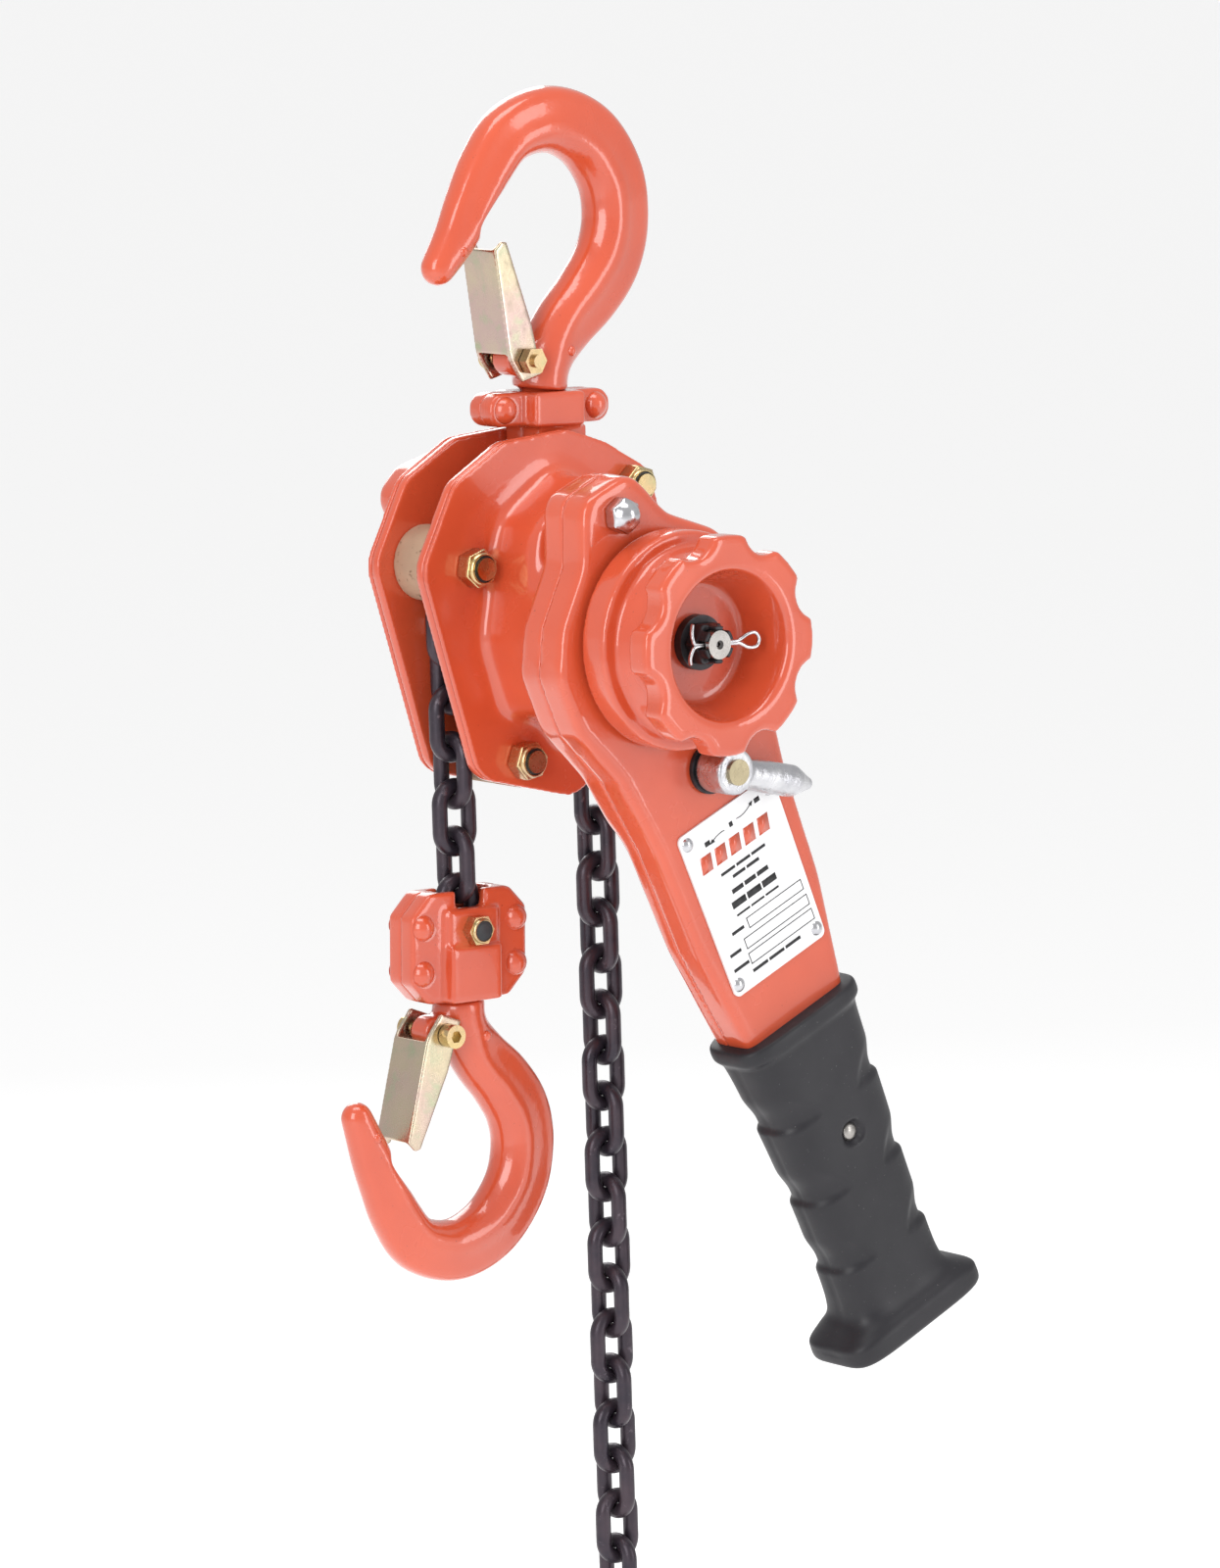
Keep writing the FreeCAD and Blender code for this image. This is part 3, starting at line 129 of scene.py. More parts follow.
def make_studio():
    make_floor()
    world = bpy.data.worlds.new("studio")
    world.use_nodes = True
    world.node_tree.nodes["Background"].inputs["Color"].default_value = (1.0, 1.0, 1.0, 1.0)
    world.node_tree.nodes["Background"].inputs["Strength"].default_value = WORLD_STRENGTH
    bpy.context.scene.world = world
    for light in LIGHTS:
        make_light(*light)
    bpy.context.scene.view_settings.view_transform = "Standard"
    bpy.context.scene.view_settings.look = "None"


make_camera()
make_studio()


# ---------------------------------------------------------------- finishes
def linear(red, green, blue):
    """A screen colour, 0 to 255, as the shader's linear one."""
    channels = (red, green, blue)
    return tuple(((c / 255.0 + 0.055) / 1.055) ** 2.4 if c > 10 else c / 3294.0 for c in channels) + (1.0,)


class Finish:
    """One procedural finish: two colours mixed by noise, uneven gloss and a fine bump."""

    def __init__(self, name, roughness, metallic=0.0, coat=0.0, coat_roughness=0.05, specular=0.5):
        self.material = bpy.data.materials.new(name)
        self.material.use_nodes = True
        self.nodes = self.material.node_tree.nodes
        self.links = self.material.node_tree.links
        self.shader = self.nodes["Principled BSDF"]
        self.shader.inputs["Roughness"].default_value = roughness
        self.shader.inputs["Metallic"].default_value = metallic
        self.shader.inputs["Coat Weight"].default_value = coat
        self.shader.inputs["Coat Roughness"].default_value = coat_roughness
        self.shader.inputs["Specular IOR Level"].default_value = specular
        self.place = self.nodes.new("ShaderNodeTexCoord").outputs["Object"]
        self.height = None

    def noise(self, scale, detail=3.0, roughness=0.55, stretch=None):
        node = self.nodes.new("ShaderNodeTexNoise")
        node.inputs["Scale"].default_value = scale
        node.inputs["Detail"].default_value = detail
        node.inputs["Roughness"].default_value = roughness
        where = self.place
        if stretch:
            mapping = self.nodes.new("ShaderNodeMapping")
            mapping.inputs["Scale"].default_value = stretch
            self.links.new(where, mapping.inputs["Vector"])
            where = mapping.outputs["Vector"]
        self.links.new(where, node.inputs["Vector"])
        return node.outputs["Fac"]

    def remap(self, value, low, high, to_low=0.0, to_high=1.0):
        node = self.nodes.new("ShaderNodeMapRange")
        node.inputs["From Min"].default_value = low
        node.inputs["From Max"].default_value = high
        node.inputs["To Min"].default_value = to_low
        node.inputs["To Max"].default_value = to_high
        self.links.new(value, node.inputs["Value"])
        return node.outputs["Result"]

    def mix(self, factor, first, second):
        node = self.nodes.new("ShaderNodeMix")
        node.data_type = "RGBA"
        self.links.new(factor, node.inputs["Factor"])
        for socket, colour in ((node.inputs[6], first), (node.inputs[7], second)):
            if isinstance(colour, tuple):
                socket.default_value = colour
            else:
                self.links.new(colour, socket)
        return node.outputs[2]

    def colour(self, source):
        self.links.new(source, self.shader.inputs["Base Color"])
        return self

    def gloss(self, value):
        self.links.new(value, self.shader.inputs["Roughness"])
        return self

    def bump(self, value, depth, strength=1.0):
        """Adds a height layer of the given depth in metres; layers stack."""
        node = self.nodes.new("ShaderNodeBump")
        node.inputs["Distance"].default_value = depth
        node.inputs["Strength"].default_value = strength
        self.links.new(value, node.inputs["Height"])
        if self.height:
            self.links.new(self.height, node.inputs["Normal"])
        self.height = node.outputs["Normal"]
        self.links.new(self.height, self.shader.inputs["Normal"])
        self.links.new(self.height, self.shader.inputs["Coat Normal"])
        return self


def enamel(name, forged):
    """Glossy orange-red enamel; on forgings it lies over a rougher skin with specks."""
    paint = Finish(name, 0.26, coat=0.9, coat_roughness=0.035 if not forged else 0.06)
    tone = paint.mix(paint.remap(paint.noise(22.0), 0.35, 0.7), linear(207, 83, 50), linear(195, 75, 45))
    specks = paint.remap(paint.noise(900.0, 2.0), 0.735, 0.76)
    paint.colour(paint.mix(specks, tone, linear(150, 62, 40)))
    paint.gloss(paint.remap(paint.noise(60.0), 0.3, 0.7, 0.2, 0.3))
    paint.bump(paint.noise(120.0, 2.0), 0.00012 if not forged else 0.0004, 0.25)
    paint.bump(paint.noise(420.0, 2.0), 0.00004 if not forged else 0.00016, 0.3)
    return paint.material


def black_oxide():
    steel = Finish("black_chain", 0.36, metallic=0.55, coat=0.15, coat_roughness=0.25)
    tone = steel.mix(steel.remap(steel.noise(90.0), 0.35, 0.68), linear(48, 42, 52), linear(68, 56, 64))
    scuffs = steel.remap(steel.noise(260.0, 5.0, 0.7), 0.62, 0.74)
    steel.colour(steel.mix(scuffs, tone, linear(106, 96, 104)))
    steel.gloss(steel.remap(steel.noise(150.0, 4.0), 0.3, 0.7, 0.26, 0.5))
    steel.bump(steel.noise(600.0, 4.0), 0.00012, 0.5)
    return steel.material


def yellow_zinc(name, warm, pink, green):
    plate = Finish(name, 0.24, metallic=1.0)
    base = plate.mix(plate.remap(plate.noise(55.0, 4.0), 0.35, 0.65), warm, pink)
    patches = plate.remap(plate.noise(110.0, 4.0), 0.52, 0.72)
    plate.colour(plate.mix(patches, base, green))
    plate.gloss(plate.remap(plate.noise(220.0, 4.0), 0.3, 0.7, 0.16, 0.36))
    plate.bump(plate.noise(500.0, 3.0), 0.00006, 0.4)
    return plate.material


def bright_zinc(name, rough, coarse):
    plate = Finish(name, rough, metallic=1.0)
    clouds = plate.remap(plate.noise(130.0, 4.0), 0.3, 0.7)
    plate.colour(plate.mix(clouds, linear(214, 214, 216), linear(182, 182, 187)))
    plate.gloss(plate.remap(plate.noise(240.0, 4.0), 0.3, 0.7, rough * 0.7, rough * 1.4))
    plate.bump(plate.noise(380.0 if coarse else 700.0, 4.0), 0.0006 if coarse else 0.00006, 0.55)
    if coarse:
        plate.bump(plate.noise(1300.0, 3.0), 0.0002, 0.5)
    return plate.material


def turned_steel(name, shade, rough):
    steel = Finish(name, rough, metallic=0.95)
    darker = tuple(c * 0.8 for c in shade[:3]) + (1.0,)
    steel.colour(steel.mix(steel.remap(steel.noise(160.0, 3.0), 0.3, 0.7), shade, darker))
    rings = steel.noise(500.0, 3.0, 0.5, (1.0, 6.0, 1.0))
    steel.gloss(steel.remap(rings, 0.3, 0.7, rough * 0.75, rough * 1.3))
    steel.bump(steel.noise(800.0, 2.0, 0.5, (1.0, 4.0, 1.0)), 0.00004, 0.4)
    return steel.material


def blackened():
    steel = Finish("black_steel", 0.42, metallic=0.4)
    clouds = steel.remap(steel.noise(180.0, 4.0), 0.35, 0.7)
    steel.colour(steel.mix(clouds, linear(34, 34, 37), linear(58, 57, 61)))
    steel.gloss(steel.remap(steel.noise(300.0, 4.0), 0.3, 0.7, 0.3, 0.52))
    steel.bump(steel.noise(900.0, 3.0), 0.00006, 0.5)
    return steel.material


def phosphate():
    """Matt tan coating of the guide sleeve and the stripper."""
    coat = Finish("tan_sleeve", 0.6, metallic=0.25, specular=0.4)
    base = coat.mix(coat.remap(coat.noise(45.0, 3.0), 0.3, 0.7), linear(186, 156, 130), linear(164, 134, 112))
    coat.colour(coat.mix(coat.remap(coat.noise(420.0, 4.0), 0.62, 0.72), base, linear(112, 84, 64)))
    coat.gloss(coat.remap(coat.noise(200.0), 0.3, 0.7, 0.48, 0.7))
    coat.bump(coat.noise(650.0, 4.0), 0.0001, 0.5)
    return coat.material


def rubber():
    """Satin black moulding with the fine grain of its tool."""
    grain = Finish("rubber_grip", 0.5, coat=0.05, coat_roughness=0.35, specular=0.45)
    tone = grain.mix(grain.remap(grain.noise(30.0), 0.3, 0.7), linear(21, 20, 26), linear(28, 26, 32))
    dust = grain.remap(grain.noise(1500.0, 2.0), 0.745, 0.76)
    grain.colour(grain.mix(dust, tone, linear(120, 118, 118)))
    grain.gloss(grain.remap(grain.noise(70.0, 4.0), 0.3, 0.7, 0.4, 0.54))
    grain.bump(grain.noise(1700.0, 2.0), 0.00006, 0.35)
    grain.bump(grain.noise(60.0, 2.0), 0.0002, 0.2)
    return grain.material


def satin_white():
    plate = Finish("plate_white", 0.34, metallic=0.2, coat=0.2, coat_roughness=0.2)
    clouds = plate.remap(plate.noise(40.0), 0.3, 0.7)
    plate.colour(plate.mix(clouds, linear(238, 238, 238), linear(226, 226, 228)))
    plate.gloss(plate.remap(plate.noise(500.0, 3.0, 0.5, (1.0, 1.0, 8.0)), 0.3, 0.7, 0.28, 0.42))
    plate.bump(plate.noise(500.0, 3.0), 0.00003, 0.4)
    return plate.material


def ink():
    print_ink = Finish("ink", 0.5)
    clouds = print_ink.remap(print_ink.noise(300.0), 0.3, 0.7)
    print_ink.colour(print_ink.mix(clouds, linear(26, 26, 28), linear(40, 40, 42)))
    print_ink.bump(print_ink.noise(900.0), 0.00001, 0.3)
    return print_ink.material


def nylon():
    ring = Finish("nylon", 0.45)
    ring.colour(ring.mix(ring.remap(ring.noise(200.0), 0.3, 0.7), linear(30, 34, 38), linear(44, 48, 52)))
    ring.bump(ring.noise(900.0), 0.00003, 0.3)
    return ring.material


def brake_lining():
    lining = Finish("friction", 0.8)
    base = lining.mix(lining.remap(lining.noise(70.0), 0.3, 0.7), linear(96, 78, 62), linear(74, 62, 52))
    lining.colour(lining.mix(lining.remap(lining.noise(700.0, 3.0), 0.6, 0.68), base, linear(150, 130, 92)))
    lining.bump(lining.noise(800.0, 4.0), 0.0002, 0.5)
    return lining.material


FINISHES = {
    "orange_enamel": enamel("orange_enamel", False),
    "orange_forged": enamel("orange_forged", True),
    "black_chain": black_oxide(),
    "yellow_zinc": yellow_zinc("yellow_zinc", linear(208, 184, 132), linear(196, 166, 136),
                               linear(178, 172, 128)),
    "latch_zinc": yellow_zinc("latch_zinc", linear(204, 190, 162), linear(200, 174, 166),
                              linear(178, 184, 152)),
    "bright_zinc": bright_zinc("bright_zinc", 0.2, False),
    "cast_zinc": bright_zinc("cast_zinc", 0.3, True),
    "plain_steel": turned_steel("plain_steel", linear(176, 172, 168), 0.3),
    "black_steel": blackened(),
    "tan_sleeve": phosphate(),
    "plate_white": satin_white(),
    "rubber_grip": rubber(),
    "brass": turned_steel("brass", linear(178, 166, 136), 0.3),
    "friction": brake_lining(),
    "ink": ink(),
    "nylon": nylon(),
}

NODE_FINISH = {
    "orange_enamel": ["block_front", "block_rear", "block_rivets", "bottom_hook", "brake_cover",
                      "front_side_plate", "gear_cover", "handwheel", "lever_inner_shell",
                      "lever_outer_shell", "rear_side_plate", "top_hook", "top_yoke_front",
                      "top_yoke_rear", "top_yoke_rivets"],
    "black_chain": ["chain_over_sheave", "load_chain", "slack_chain", "stop_ring"],
    "yellow_zinc": ["bottom_latch_screw", "chain_pin_bolt", "lever_ear_bolt", "stay_bolts",
                    "stay_nuts", "stay_spacers", "top_latch_screw"],
    "latch_zinc": ["bottom_latch", "top_latch"],
    "bright_zinc": ["chain_guide", "cotter_pin", "lever_cap_nut", "nameplate_rivets"],
    "cast_zinc": ["selector_lever"],
    "plain_steel": ["bottom_latch_spring", "brake_hub", "change_gear", "change_pawl", "load_gear",
                    "load_gear_ring", "load_sheave", "pawl_lower", "pawl_pins", "pawl_springs",
                    "pawl_upper", "pinion_shaft", "ratchet_disc", "reduction_gear_a",
                    "reduction_gear_b", "sheave_bearings", "top_latch_spring", "top_pin"],
    "black_steel": ["castle_nut", "selector_washer", "stopper_washer"],
    "tan_sleeve": ["chain_stripper", "stay_sleeve"],
    "plate_white": ["nameplate"],
    "rubber_grip": ["lever_grip"],
    "brass": ["selector_rivet"],
    "friction": ["friction_discs"],
}


def set_finish(obj, finish):
    obj.data.materials.clear()
    obj.data.materials.append(FINISHES[finish])


for finish_name, node_names in NODE_FINISH.items():
    for node_name in node_names:
        set_finish(frame["nodes"][node_name], finish_name)


def add_piece(name, mesh, finish, body, replaces=()):
    piece = bpy.data.objects.new(name, mesh)
    bpy.context.scene.collection.objects.link(piece)
    set_finish(piece, finish)
    mesh.shade_smooth()
    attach(piece, body)
    if replaces:
        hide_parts(*replaces)
    return piece


def joined(parts):
    """One mesh from several lists of (points, faces)."""
    points = []
    faces = []
    for part_points, part_faces in parts:
        start = len(points)
        points.extend(tuple(p) for p in part_points)
        faces.extend([tuple(i + start for i in face) for face in part_faces])
    mesh = bpy.data.meshes.new("joined")
    mesh.from_pydata(points, [], faces)
    return mesh


def merged_copy(node):
    """The CAD node's mesh with its doubled corners joined."""
    mesh = frame["nodes"][node].data.copy()
    mesh.transform(frame["nodes"][node].matrix_world)
    bm = bmesh.new()
    bm.from_mesh(mesh)
    bmesh.ops.remove_doubles(bm, verts=bm.verts, dist=0.002 * MM)
    bm.to_mesh(mesh)
    bm.free()
    return mesh


def coordinates(mesh):
    flat = np.empty(len(mesh.vertices) * 3)
    mesh.vertices.foreach_get("co", flat)
    return flat.reshape(-1, 3)


def remeshed(mesh, voxel):
    holder = bpy.data.objects.new("holder", mesh)
    bpy.context.scene.collection.objects.link(holder)
    modifier = holder.modifiers.new("voxels", "REMESH")
    modifier.mode = "VOXEL"
    modifier.voxel_size = voxel
    graph = bpy.context.evaluated_depsgraph_get()
    result = bpy.data.meshes.new_from_object(holder.evaluated_get(graph))
    bpy.data.objects.remove(holder)
    return result


def relax(mesh, rounds, weight=None):
    """Moves each point towards the mean of its neighbours, by its weight."""
    points = coordinates(mesh)
    edges = np.empty(len(mesh.edges) * 2, int)
    mesh.edges.foreach_get("vertices", edges)
    first, second = edges.reshape(-1, 2).T
    count = np.maximum(np.bincount(np.r_[first, second], minlength=len(points)), 1)
    share = np.full(len(points), 0.5) if weight is None else 0.5 * weight(points)
    for _ in range(rounds):
        mean = np.empty_like(points)
        for axis in range(3):
            column = points[:, axis]
            total = np.bincount(first, column[second], len(points))
            total = total + np.bincount(second, column[first], len(points))
            mean[:, axis] = total / count
        points += (mean - points) * share[:, None]
    mesh.vertices.foreach_set("co", points.ravel())
    mesh.update()


def ramp(value, low, high):
    """0 below low, 1 above high, smooth between."""
    t = np.clip((value - low) / (high - low), 0.0, 1.0)
    return t * t * (3.0 - 2.0 * t)


def centre_of(node):
    low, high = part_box(node)
    return (low + high) / 2


VOXEL_FULL = 0.75
VOXEL = VOXEL_FULL * MM


def lathe(profile, centre, axis, steps=48):
    """A closed turned form from (radius, distance along the axis) pairs."""
    axis = Vector(axis).normalized()
    side = axis.orthogonal().normalized()
    other = axis.cross(side)
    points = []
    for i in range(steps):
        angle = 2 * math.pi * i / steps
        out = side * math.cos(angle) + other * math.sin(angle)
        points += [Vector(centre) + out * radius + axis * along for radius, along in profile]
    count = len(profile)
    faces = []
    for i in range(steps):
        j = (i + 1) % steps
        for k in range(count - 1):
            faces.append((i * count + k, j * count + k, j * count + k + 1, i * count + k + 1))
    faces.append(tuple(i * count for i in reversed(range(steps))))
    faces.append(tuple(i * count + count - 1 for i in range(steps)))
    return points, faces


def tube(path, radius, sides=12):
    """A round wire along a list of points, with one radius or one for each point."""
    path = [Vector(p) for p in path]
    count = len(path)
    radii = radius if isinstance(radius, list) else [radius] * count
    points = []
    side = None
    for i, p in enumerate(path):
        before = path[i - 1] if i else p
        after = path[i + 1] if i < count - 1 else p
        run = (after - before).normalized()
        if side is None:
            side = run.orthogonal().normalized()
        side = (side - run * side.dot(run)).normalized()
        other = run.cross(side)
        for k in range(sides):
            angle = 2 * math.pi * k / sides
            points.append(p + (side * math.cos(angle) + other * math.sin(angle)) * radii[i])
    faces = []
    for i in range(count - 1):
        j = i + 1
        for k in range(sides):
            n = (k + 1) % sides
            faces.append((i * sides + k, i * sides + n, j * sides + n, j * sides + k))
    faces.append(tuple(reversed(range(sides))))
    faces.append(tuple((count - 1) * sides + k for k in range(sides)))
    return points, faces


# ---------------------------------------------------------------- places in the frame, millimetres
SHAFT_X = -12.5
SHAFT_Z = -164.5
LEVER_TURN = math.radians(24.4)
LEVER_SPLIT = -66.0
PLATE_OUTLINE = np.array([(-56.5, 22), (-42.4, 51.5), (-20, 65), (9.5, 68.0), (26, 63), (47, 52),
                          (56, 22), (48, -36), (12, -63), (-31.7, -53)], float)
BOLTS = np.array([(-35.3, 22.0), (37.8, 47.3), (-12.7, -47.5)])
NUT_FACE = 23.0
STUD_END = 25.5


def from_shaft(points):
    """X and Z of the points from the shaft axis, in millimetres."""
    return np.stack((points[:, 0] / MM - SHAFT_X, points[:, 2] / MM - SHAFT_Z), 1)


def on_lever(side, along, y):
    """A point given across the arm, along it and in depth."""
    turn = LEVER_TURN
    return Vector((SHAFT_X + along * math.sin(turn) + side * math.cos(turn), y,
                   SHAFT_Z - along * math.cos(turn) + side * math.sin(turn))) * MM


def outline_gap(flat):
    """How far inside the side plate's outline each point lies."""
    gap = np.full(len(flat), 1e3)
    for i, start in enumerate(PLATE_OUTLINE):
        run = PLATE_OUTLINE[i - 1] - start
        normal = np.array((-run[1], run[0])) / np.hypot(*run)
        gap = np.minimum(gap, np.abs((flat - start) @ normal))
    return gap


def cover_weight(points):
    """Holds a cover still along the plate's edge and round the stays."""
    flat = from_shaft(points)
    nearest = np.min([np.hypot(*(flat - bolt).T) for bolt in BOLTS], 0)
    return ramp(outline_gap(flat), 3.0, 8.0) * ramp(nearest, 8.0, 11.0)


def shell_weight(points):
    """Keeps the lever's parting line crisp."""
    return ramp(np.abs(points[:, 1] / MM - LEVER_SPLIT), 0.8, 4.0)


def split_weight(points):
    """Keeps the parting line of yoke and block crisp."""
    return ramp(np.abs(points[:, 1] / MM), 0.3, 1.6)


def as_part(mesh):
    """A mesh as points and faces, ready for joined."""
    return [tuple(v.co) for v in mesh.vertices], [tuple(f.vertices) for f in mesh.polygons]


def block_part(x0, x1, y0, y1, z0, z1):
    """A rough lump, in millimetres, that a remesh grows into its neighbours."""
    points = [Vector((x, y, z)) * MM for x in (x0, x1) for y in (y0, y1) for z in (z0, z1)]
    faces = [(0, 1, 3, 2), (4, 6, 7, 5), (0, 4, 5, 1), (2, 3, 7, 6), (0, 2, 6, 4), (1, 5, 7, 3)]
    return points, faces


def softened(node, rounds, weight=None, first=3, finish="orange_enamel", extra=(), voxel=VOXEL):
    """A node's form with the soft edges and fillets of a pressing, casting or forging."""
    mesh = merged_copy(node)
    if extra:
        mesh = joined([as_part(mesh)] + list(extra))
    mesh = remeshed(mesh, voxel)
    relax(mesh, first)
    relax(mesh, rounds, weight)
    return add_piece(node + "_form", mesh, finish, BODY_OF[node], (node,))


def turns(count):
    """Relaxing rounds at this voxel size that soften as much as count at the full one."""
    return max(1, round(count * (VOXEL_FULL * MM / VOXEL) ** 2))


softened("brake_cover", turns(125), cover_weight)
softened("gear_cover", turns(70), cover_weight)
softened("front_side_plate", turns(5), first=turns(3))
softened("rear_side_plate", turns(3), first=turns(3))
softened("lever_outer_shell", turns(50), shell_weight, first=1)
softened("lever_inner_shell", turns(44), shell_weight, first=1)
softened("handwheel", turns(9))
softened("top_yoke_front", turns(8), split_weight, first=1)
softened("top_yoke_rear", turns(8), split_weight, first=1)

block_low, block_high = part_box("block_front")
BLOCK_X = (block_low[0] + block_high[0]) / 2 / MM
BOSS_HALF = 11.3
BOSS_BOTTOM = -279.0
BOSS_TOP = -264.6
for half, near, far in (("block_front", -9.4, -4.2), ("block_rear", 4.2, 9.4)):
    boss = block_part(BLOCK_X - BOSS_HALF, BLOCK_X + BOSS_HALF, near, far, BOSS_BOTTOM, BOSS_TOP)
    softened(half, turns(8), split_weight, first=1, extra=[boss])


# ---------------------------------------------------------------- hooks
# Across, along, width and half thickness from the neck round the bowl; the tip's row comes with each hook.
HOOK_ROWS = np.array([(0, -0.5, 19.0, 9.4), (0.3, 6, 19.0, 9.4), (3, 13, 20, 9.4), (10, 22, 22, 9.3),
                      (19, 31, 24, 9.2), (26.5, 42, 25, 9.2), (29, 55, 25, 9.2), (25.5, 70, 25, 9.2),
                      (14, 83.5, 24.5, 9.2), (-2.5, 89.5, 22.8, 9.2), (-19, 85.5, 20.5, 8.8),
                      (-28.5, 74.5, 19.0, 8.2), (-34.5, 62.5, 17.5, 7.6), (-39.5, 52, 15.5, 6.8)])
TOP_TIP = (-46.5, 41.5, 12.0, 5.8)
BOTTOM_TIP = (-46.0, 37.0, 11.6, 5.6)
HOOK_GAP = 0.8
TOP_HOOK_X = -3.0
NECK_ROWS = 40
LATCH_PIVOT = (-12.5, 10.0)
LUG_R = 6.0
LUG_HALF = 4.9
SHANK_R = 6.4
# Profile of a pip on the forging: radius and height.
PIP = [(1.9 * MM, 0.0), (1.7 * MM, 0.7 * MM), (1.1 * MM, 1.25 * MM), (0.3 * MM, 1.5 * MM)]
SECTION_AT = np.array([-1.0, -0.97, -0.9, -0.75, -0.5, -0.3, -0.1, 0.1, 0.3, 0.6, 0.8, 0.92, 0.98, 1.0])
SECTION_THICK = np.array([0.0, 0.26, 0.46, 0.72, 0.95, 1.0, 0.95, 0.85, 0.78, 0.70, 0.62, 0.46, 0.25, 0.0])


def spline(rows, per):
    """Catmull-Rom through the rows, with per steps to each span."""
    padded = np.vstack((2 * rows[0] - rows[1], rows, 2 * rows[-1] - rows[-2]))
    dense = []
    for i in range(1, len(rows)):
        a, b, c, d = padded[i - 1:i + 3]
        for t in np.arange(per) / per:
            dense.append(0.5 * (2 * b + (c - a) * t + (2 * a - 5 * b + 4 * c - d) * t ** 2
                                + (3 * b - a - 3 * c + d) * t ** 3))
    dense.append(rows[-1])
    return np.array(dense)


def forged_section(u, forged):
    round_form = np.sqrt(np.maximum(1 - u * u, 0))
    return round_form * (1 - forged) + np.interp(u, SECTION_AT, SECTION_THICK) * forged


def hook_piece(node, axis_x, face, up, lean, size, tip):
    """The forging: a swept bowl, its lug, its neck and shank, grown together."""
    rows = spline(np.vstack((HOOK_ROWS, tip)), 8)
    centre = np.stack((axis_x + rows[:, 0] * size + lean * rows[:, 1] * size,
                       face + up * rows[:, 1] * size), 1)
    run = np.gradient(centre, axis=0)
    run /= np.linalg.norm(run, axis=1)[:, None]
    across = np.stack((run[:, 1], -run[:, 0]), 1) * up
    step = np.linalg.norm(np.diff(centre, axis=0), axis=1)
    from_tip = np.r_[np.cumsum(step[::-1])[::-1], 0.0]
    u = -np.cos(np.linspace(0, math.pi, 22))
    points = []
    count = 2 * len(u) - 2
    for i in range(len(rows)):
        away_from_neck = ramp(rows[i, 1], 9.0, 24.0) if i < NECK_ROWS else 1.0
        grown = away_from_neck * (1 - 0.75 * (1 - ramp(from_tip[i], 2.0, 24.0)))
        thick = forged_section(u, grown) * rows[i, 3] * size
        wide = rows[i, 2] / 2 * size
        notch = 3.6 * ramp(from_tip[i], 17.5, 19.0) * (1 - ramp(from_tip[i], 21.0, 38.0))
        place = np.where(u < 0, u * wide + notch * u * u, u * wide)
        ring = [(centre[i] + across[i] * p, t) for p, t in zip(place, -thick)]
        ring += [(centre[i] + across[i] * p, t) for p, t in list(zip(place, thick))[-2:0:-1]]
        points += [Vector((c[0], t, c[1])) * MM for c, t in ring]
    end = centre[-1]
    radius = rows[-1, 2] / 2 * size
    for cap in (0.35, 0.65, 0.88, 0.98):
        shrink = math.sqrt(1 - cap * cap)
        middle = end + run[-1] * radius * cap
        for k in range(count):
            base = points[(len(rows) - 1) * count + k]
            out = np.array((base.x / MM - end[0], base.z / MM - end[1])) * shrink
            points.append(Vector((middle[0] + out[0], base.y / MM * shrink, middle[1] + out[1])) * MM)
    faces = []
    rings = len(points) // count
    for i in range(rings - 1):
        for k in range(count):
            n = (k + 1) % count
            faces.append((i * count + k, (i + 1) * count + k, (i + 1) * count + n, i * count + n))
    faces.append(tuple(range(count)))
    faces.append(tuple((rings - 1) * count + k for k in reversed(range(count))))
    pivot_x = axis_x + LATCH_PIVOT[0] * size + lean * LATCH_PIVOT[1] * size
    pivot_z = face + up * LATCH_PIVOT[1] * size
    lug = lathe([(LUG_R * MM, -LUG_HALF * MM), (LUG_R * MM, LUG_HALF * MM)],
                Vector((pivot_x, 0, pivot_z)) * MM, (0, 1, 0))
    root = block_part(pivot_x, axis_x, -LUG_HALF, LUG_HALF, pivot_z - LUG_R, pivot_z + LUG_R)
    shank = lathe([(SHANK_R * MM, 0.0), (SHANK_R * MM, 16.0 * MM)],
                  Vector((axis_x, 0, face + up * 4.0)) * MM, (0, 0, -up))
    mesh = remeshed(joined([(points, faces), lug, root, shank]), VOXEL)
    relax(mesh, turns(10))
    add_piece(node + "_forging", mesh, "orange_forged", BODY_OF[node], (node,))
    tip_row = int(np.argmin(np.abs(from_tip - 9.0)))
    neck_row = int(np.argmin(np.abs(rows[:NECK_ROWS, 1] - 14.0)))
    dots = []
    tip_off = rows[tip_row, 2] / 2 * size * -0.25
    for i, off, proud in ((tip_row, tip_off, size * 0.86), (neck_row, 3.0, size * 0.9)):
        spot = centre[i] + across[i] * off
        dots.append(lathe(PIP, Vector((spot[0], -rows[i, 3] * proud, spot[1])) * MM, (0, -1, 0), 20))
    add_piece(node + "_pips", joined(dots), "orange_forged", BODY_OF[node])


yoke_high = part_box("top_yoke_front")[1]
hook_piece("top_hook", TOP_HOOK_X, yoke_high[2] / MM + HOOK_GAP, 1, 0.075, 1.055, TOP_TIP)
hook_piece("bottom_hook", BLOCK_X, block_low[2] / MM - HOOK_GAP, -1, 0.0, 1.0, BOTTOM_TIP)


# ---------------------------------------------------------------- grip
GRIP_Y = -69.3
GRIP_END = 284.9
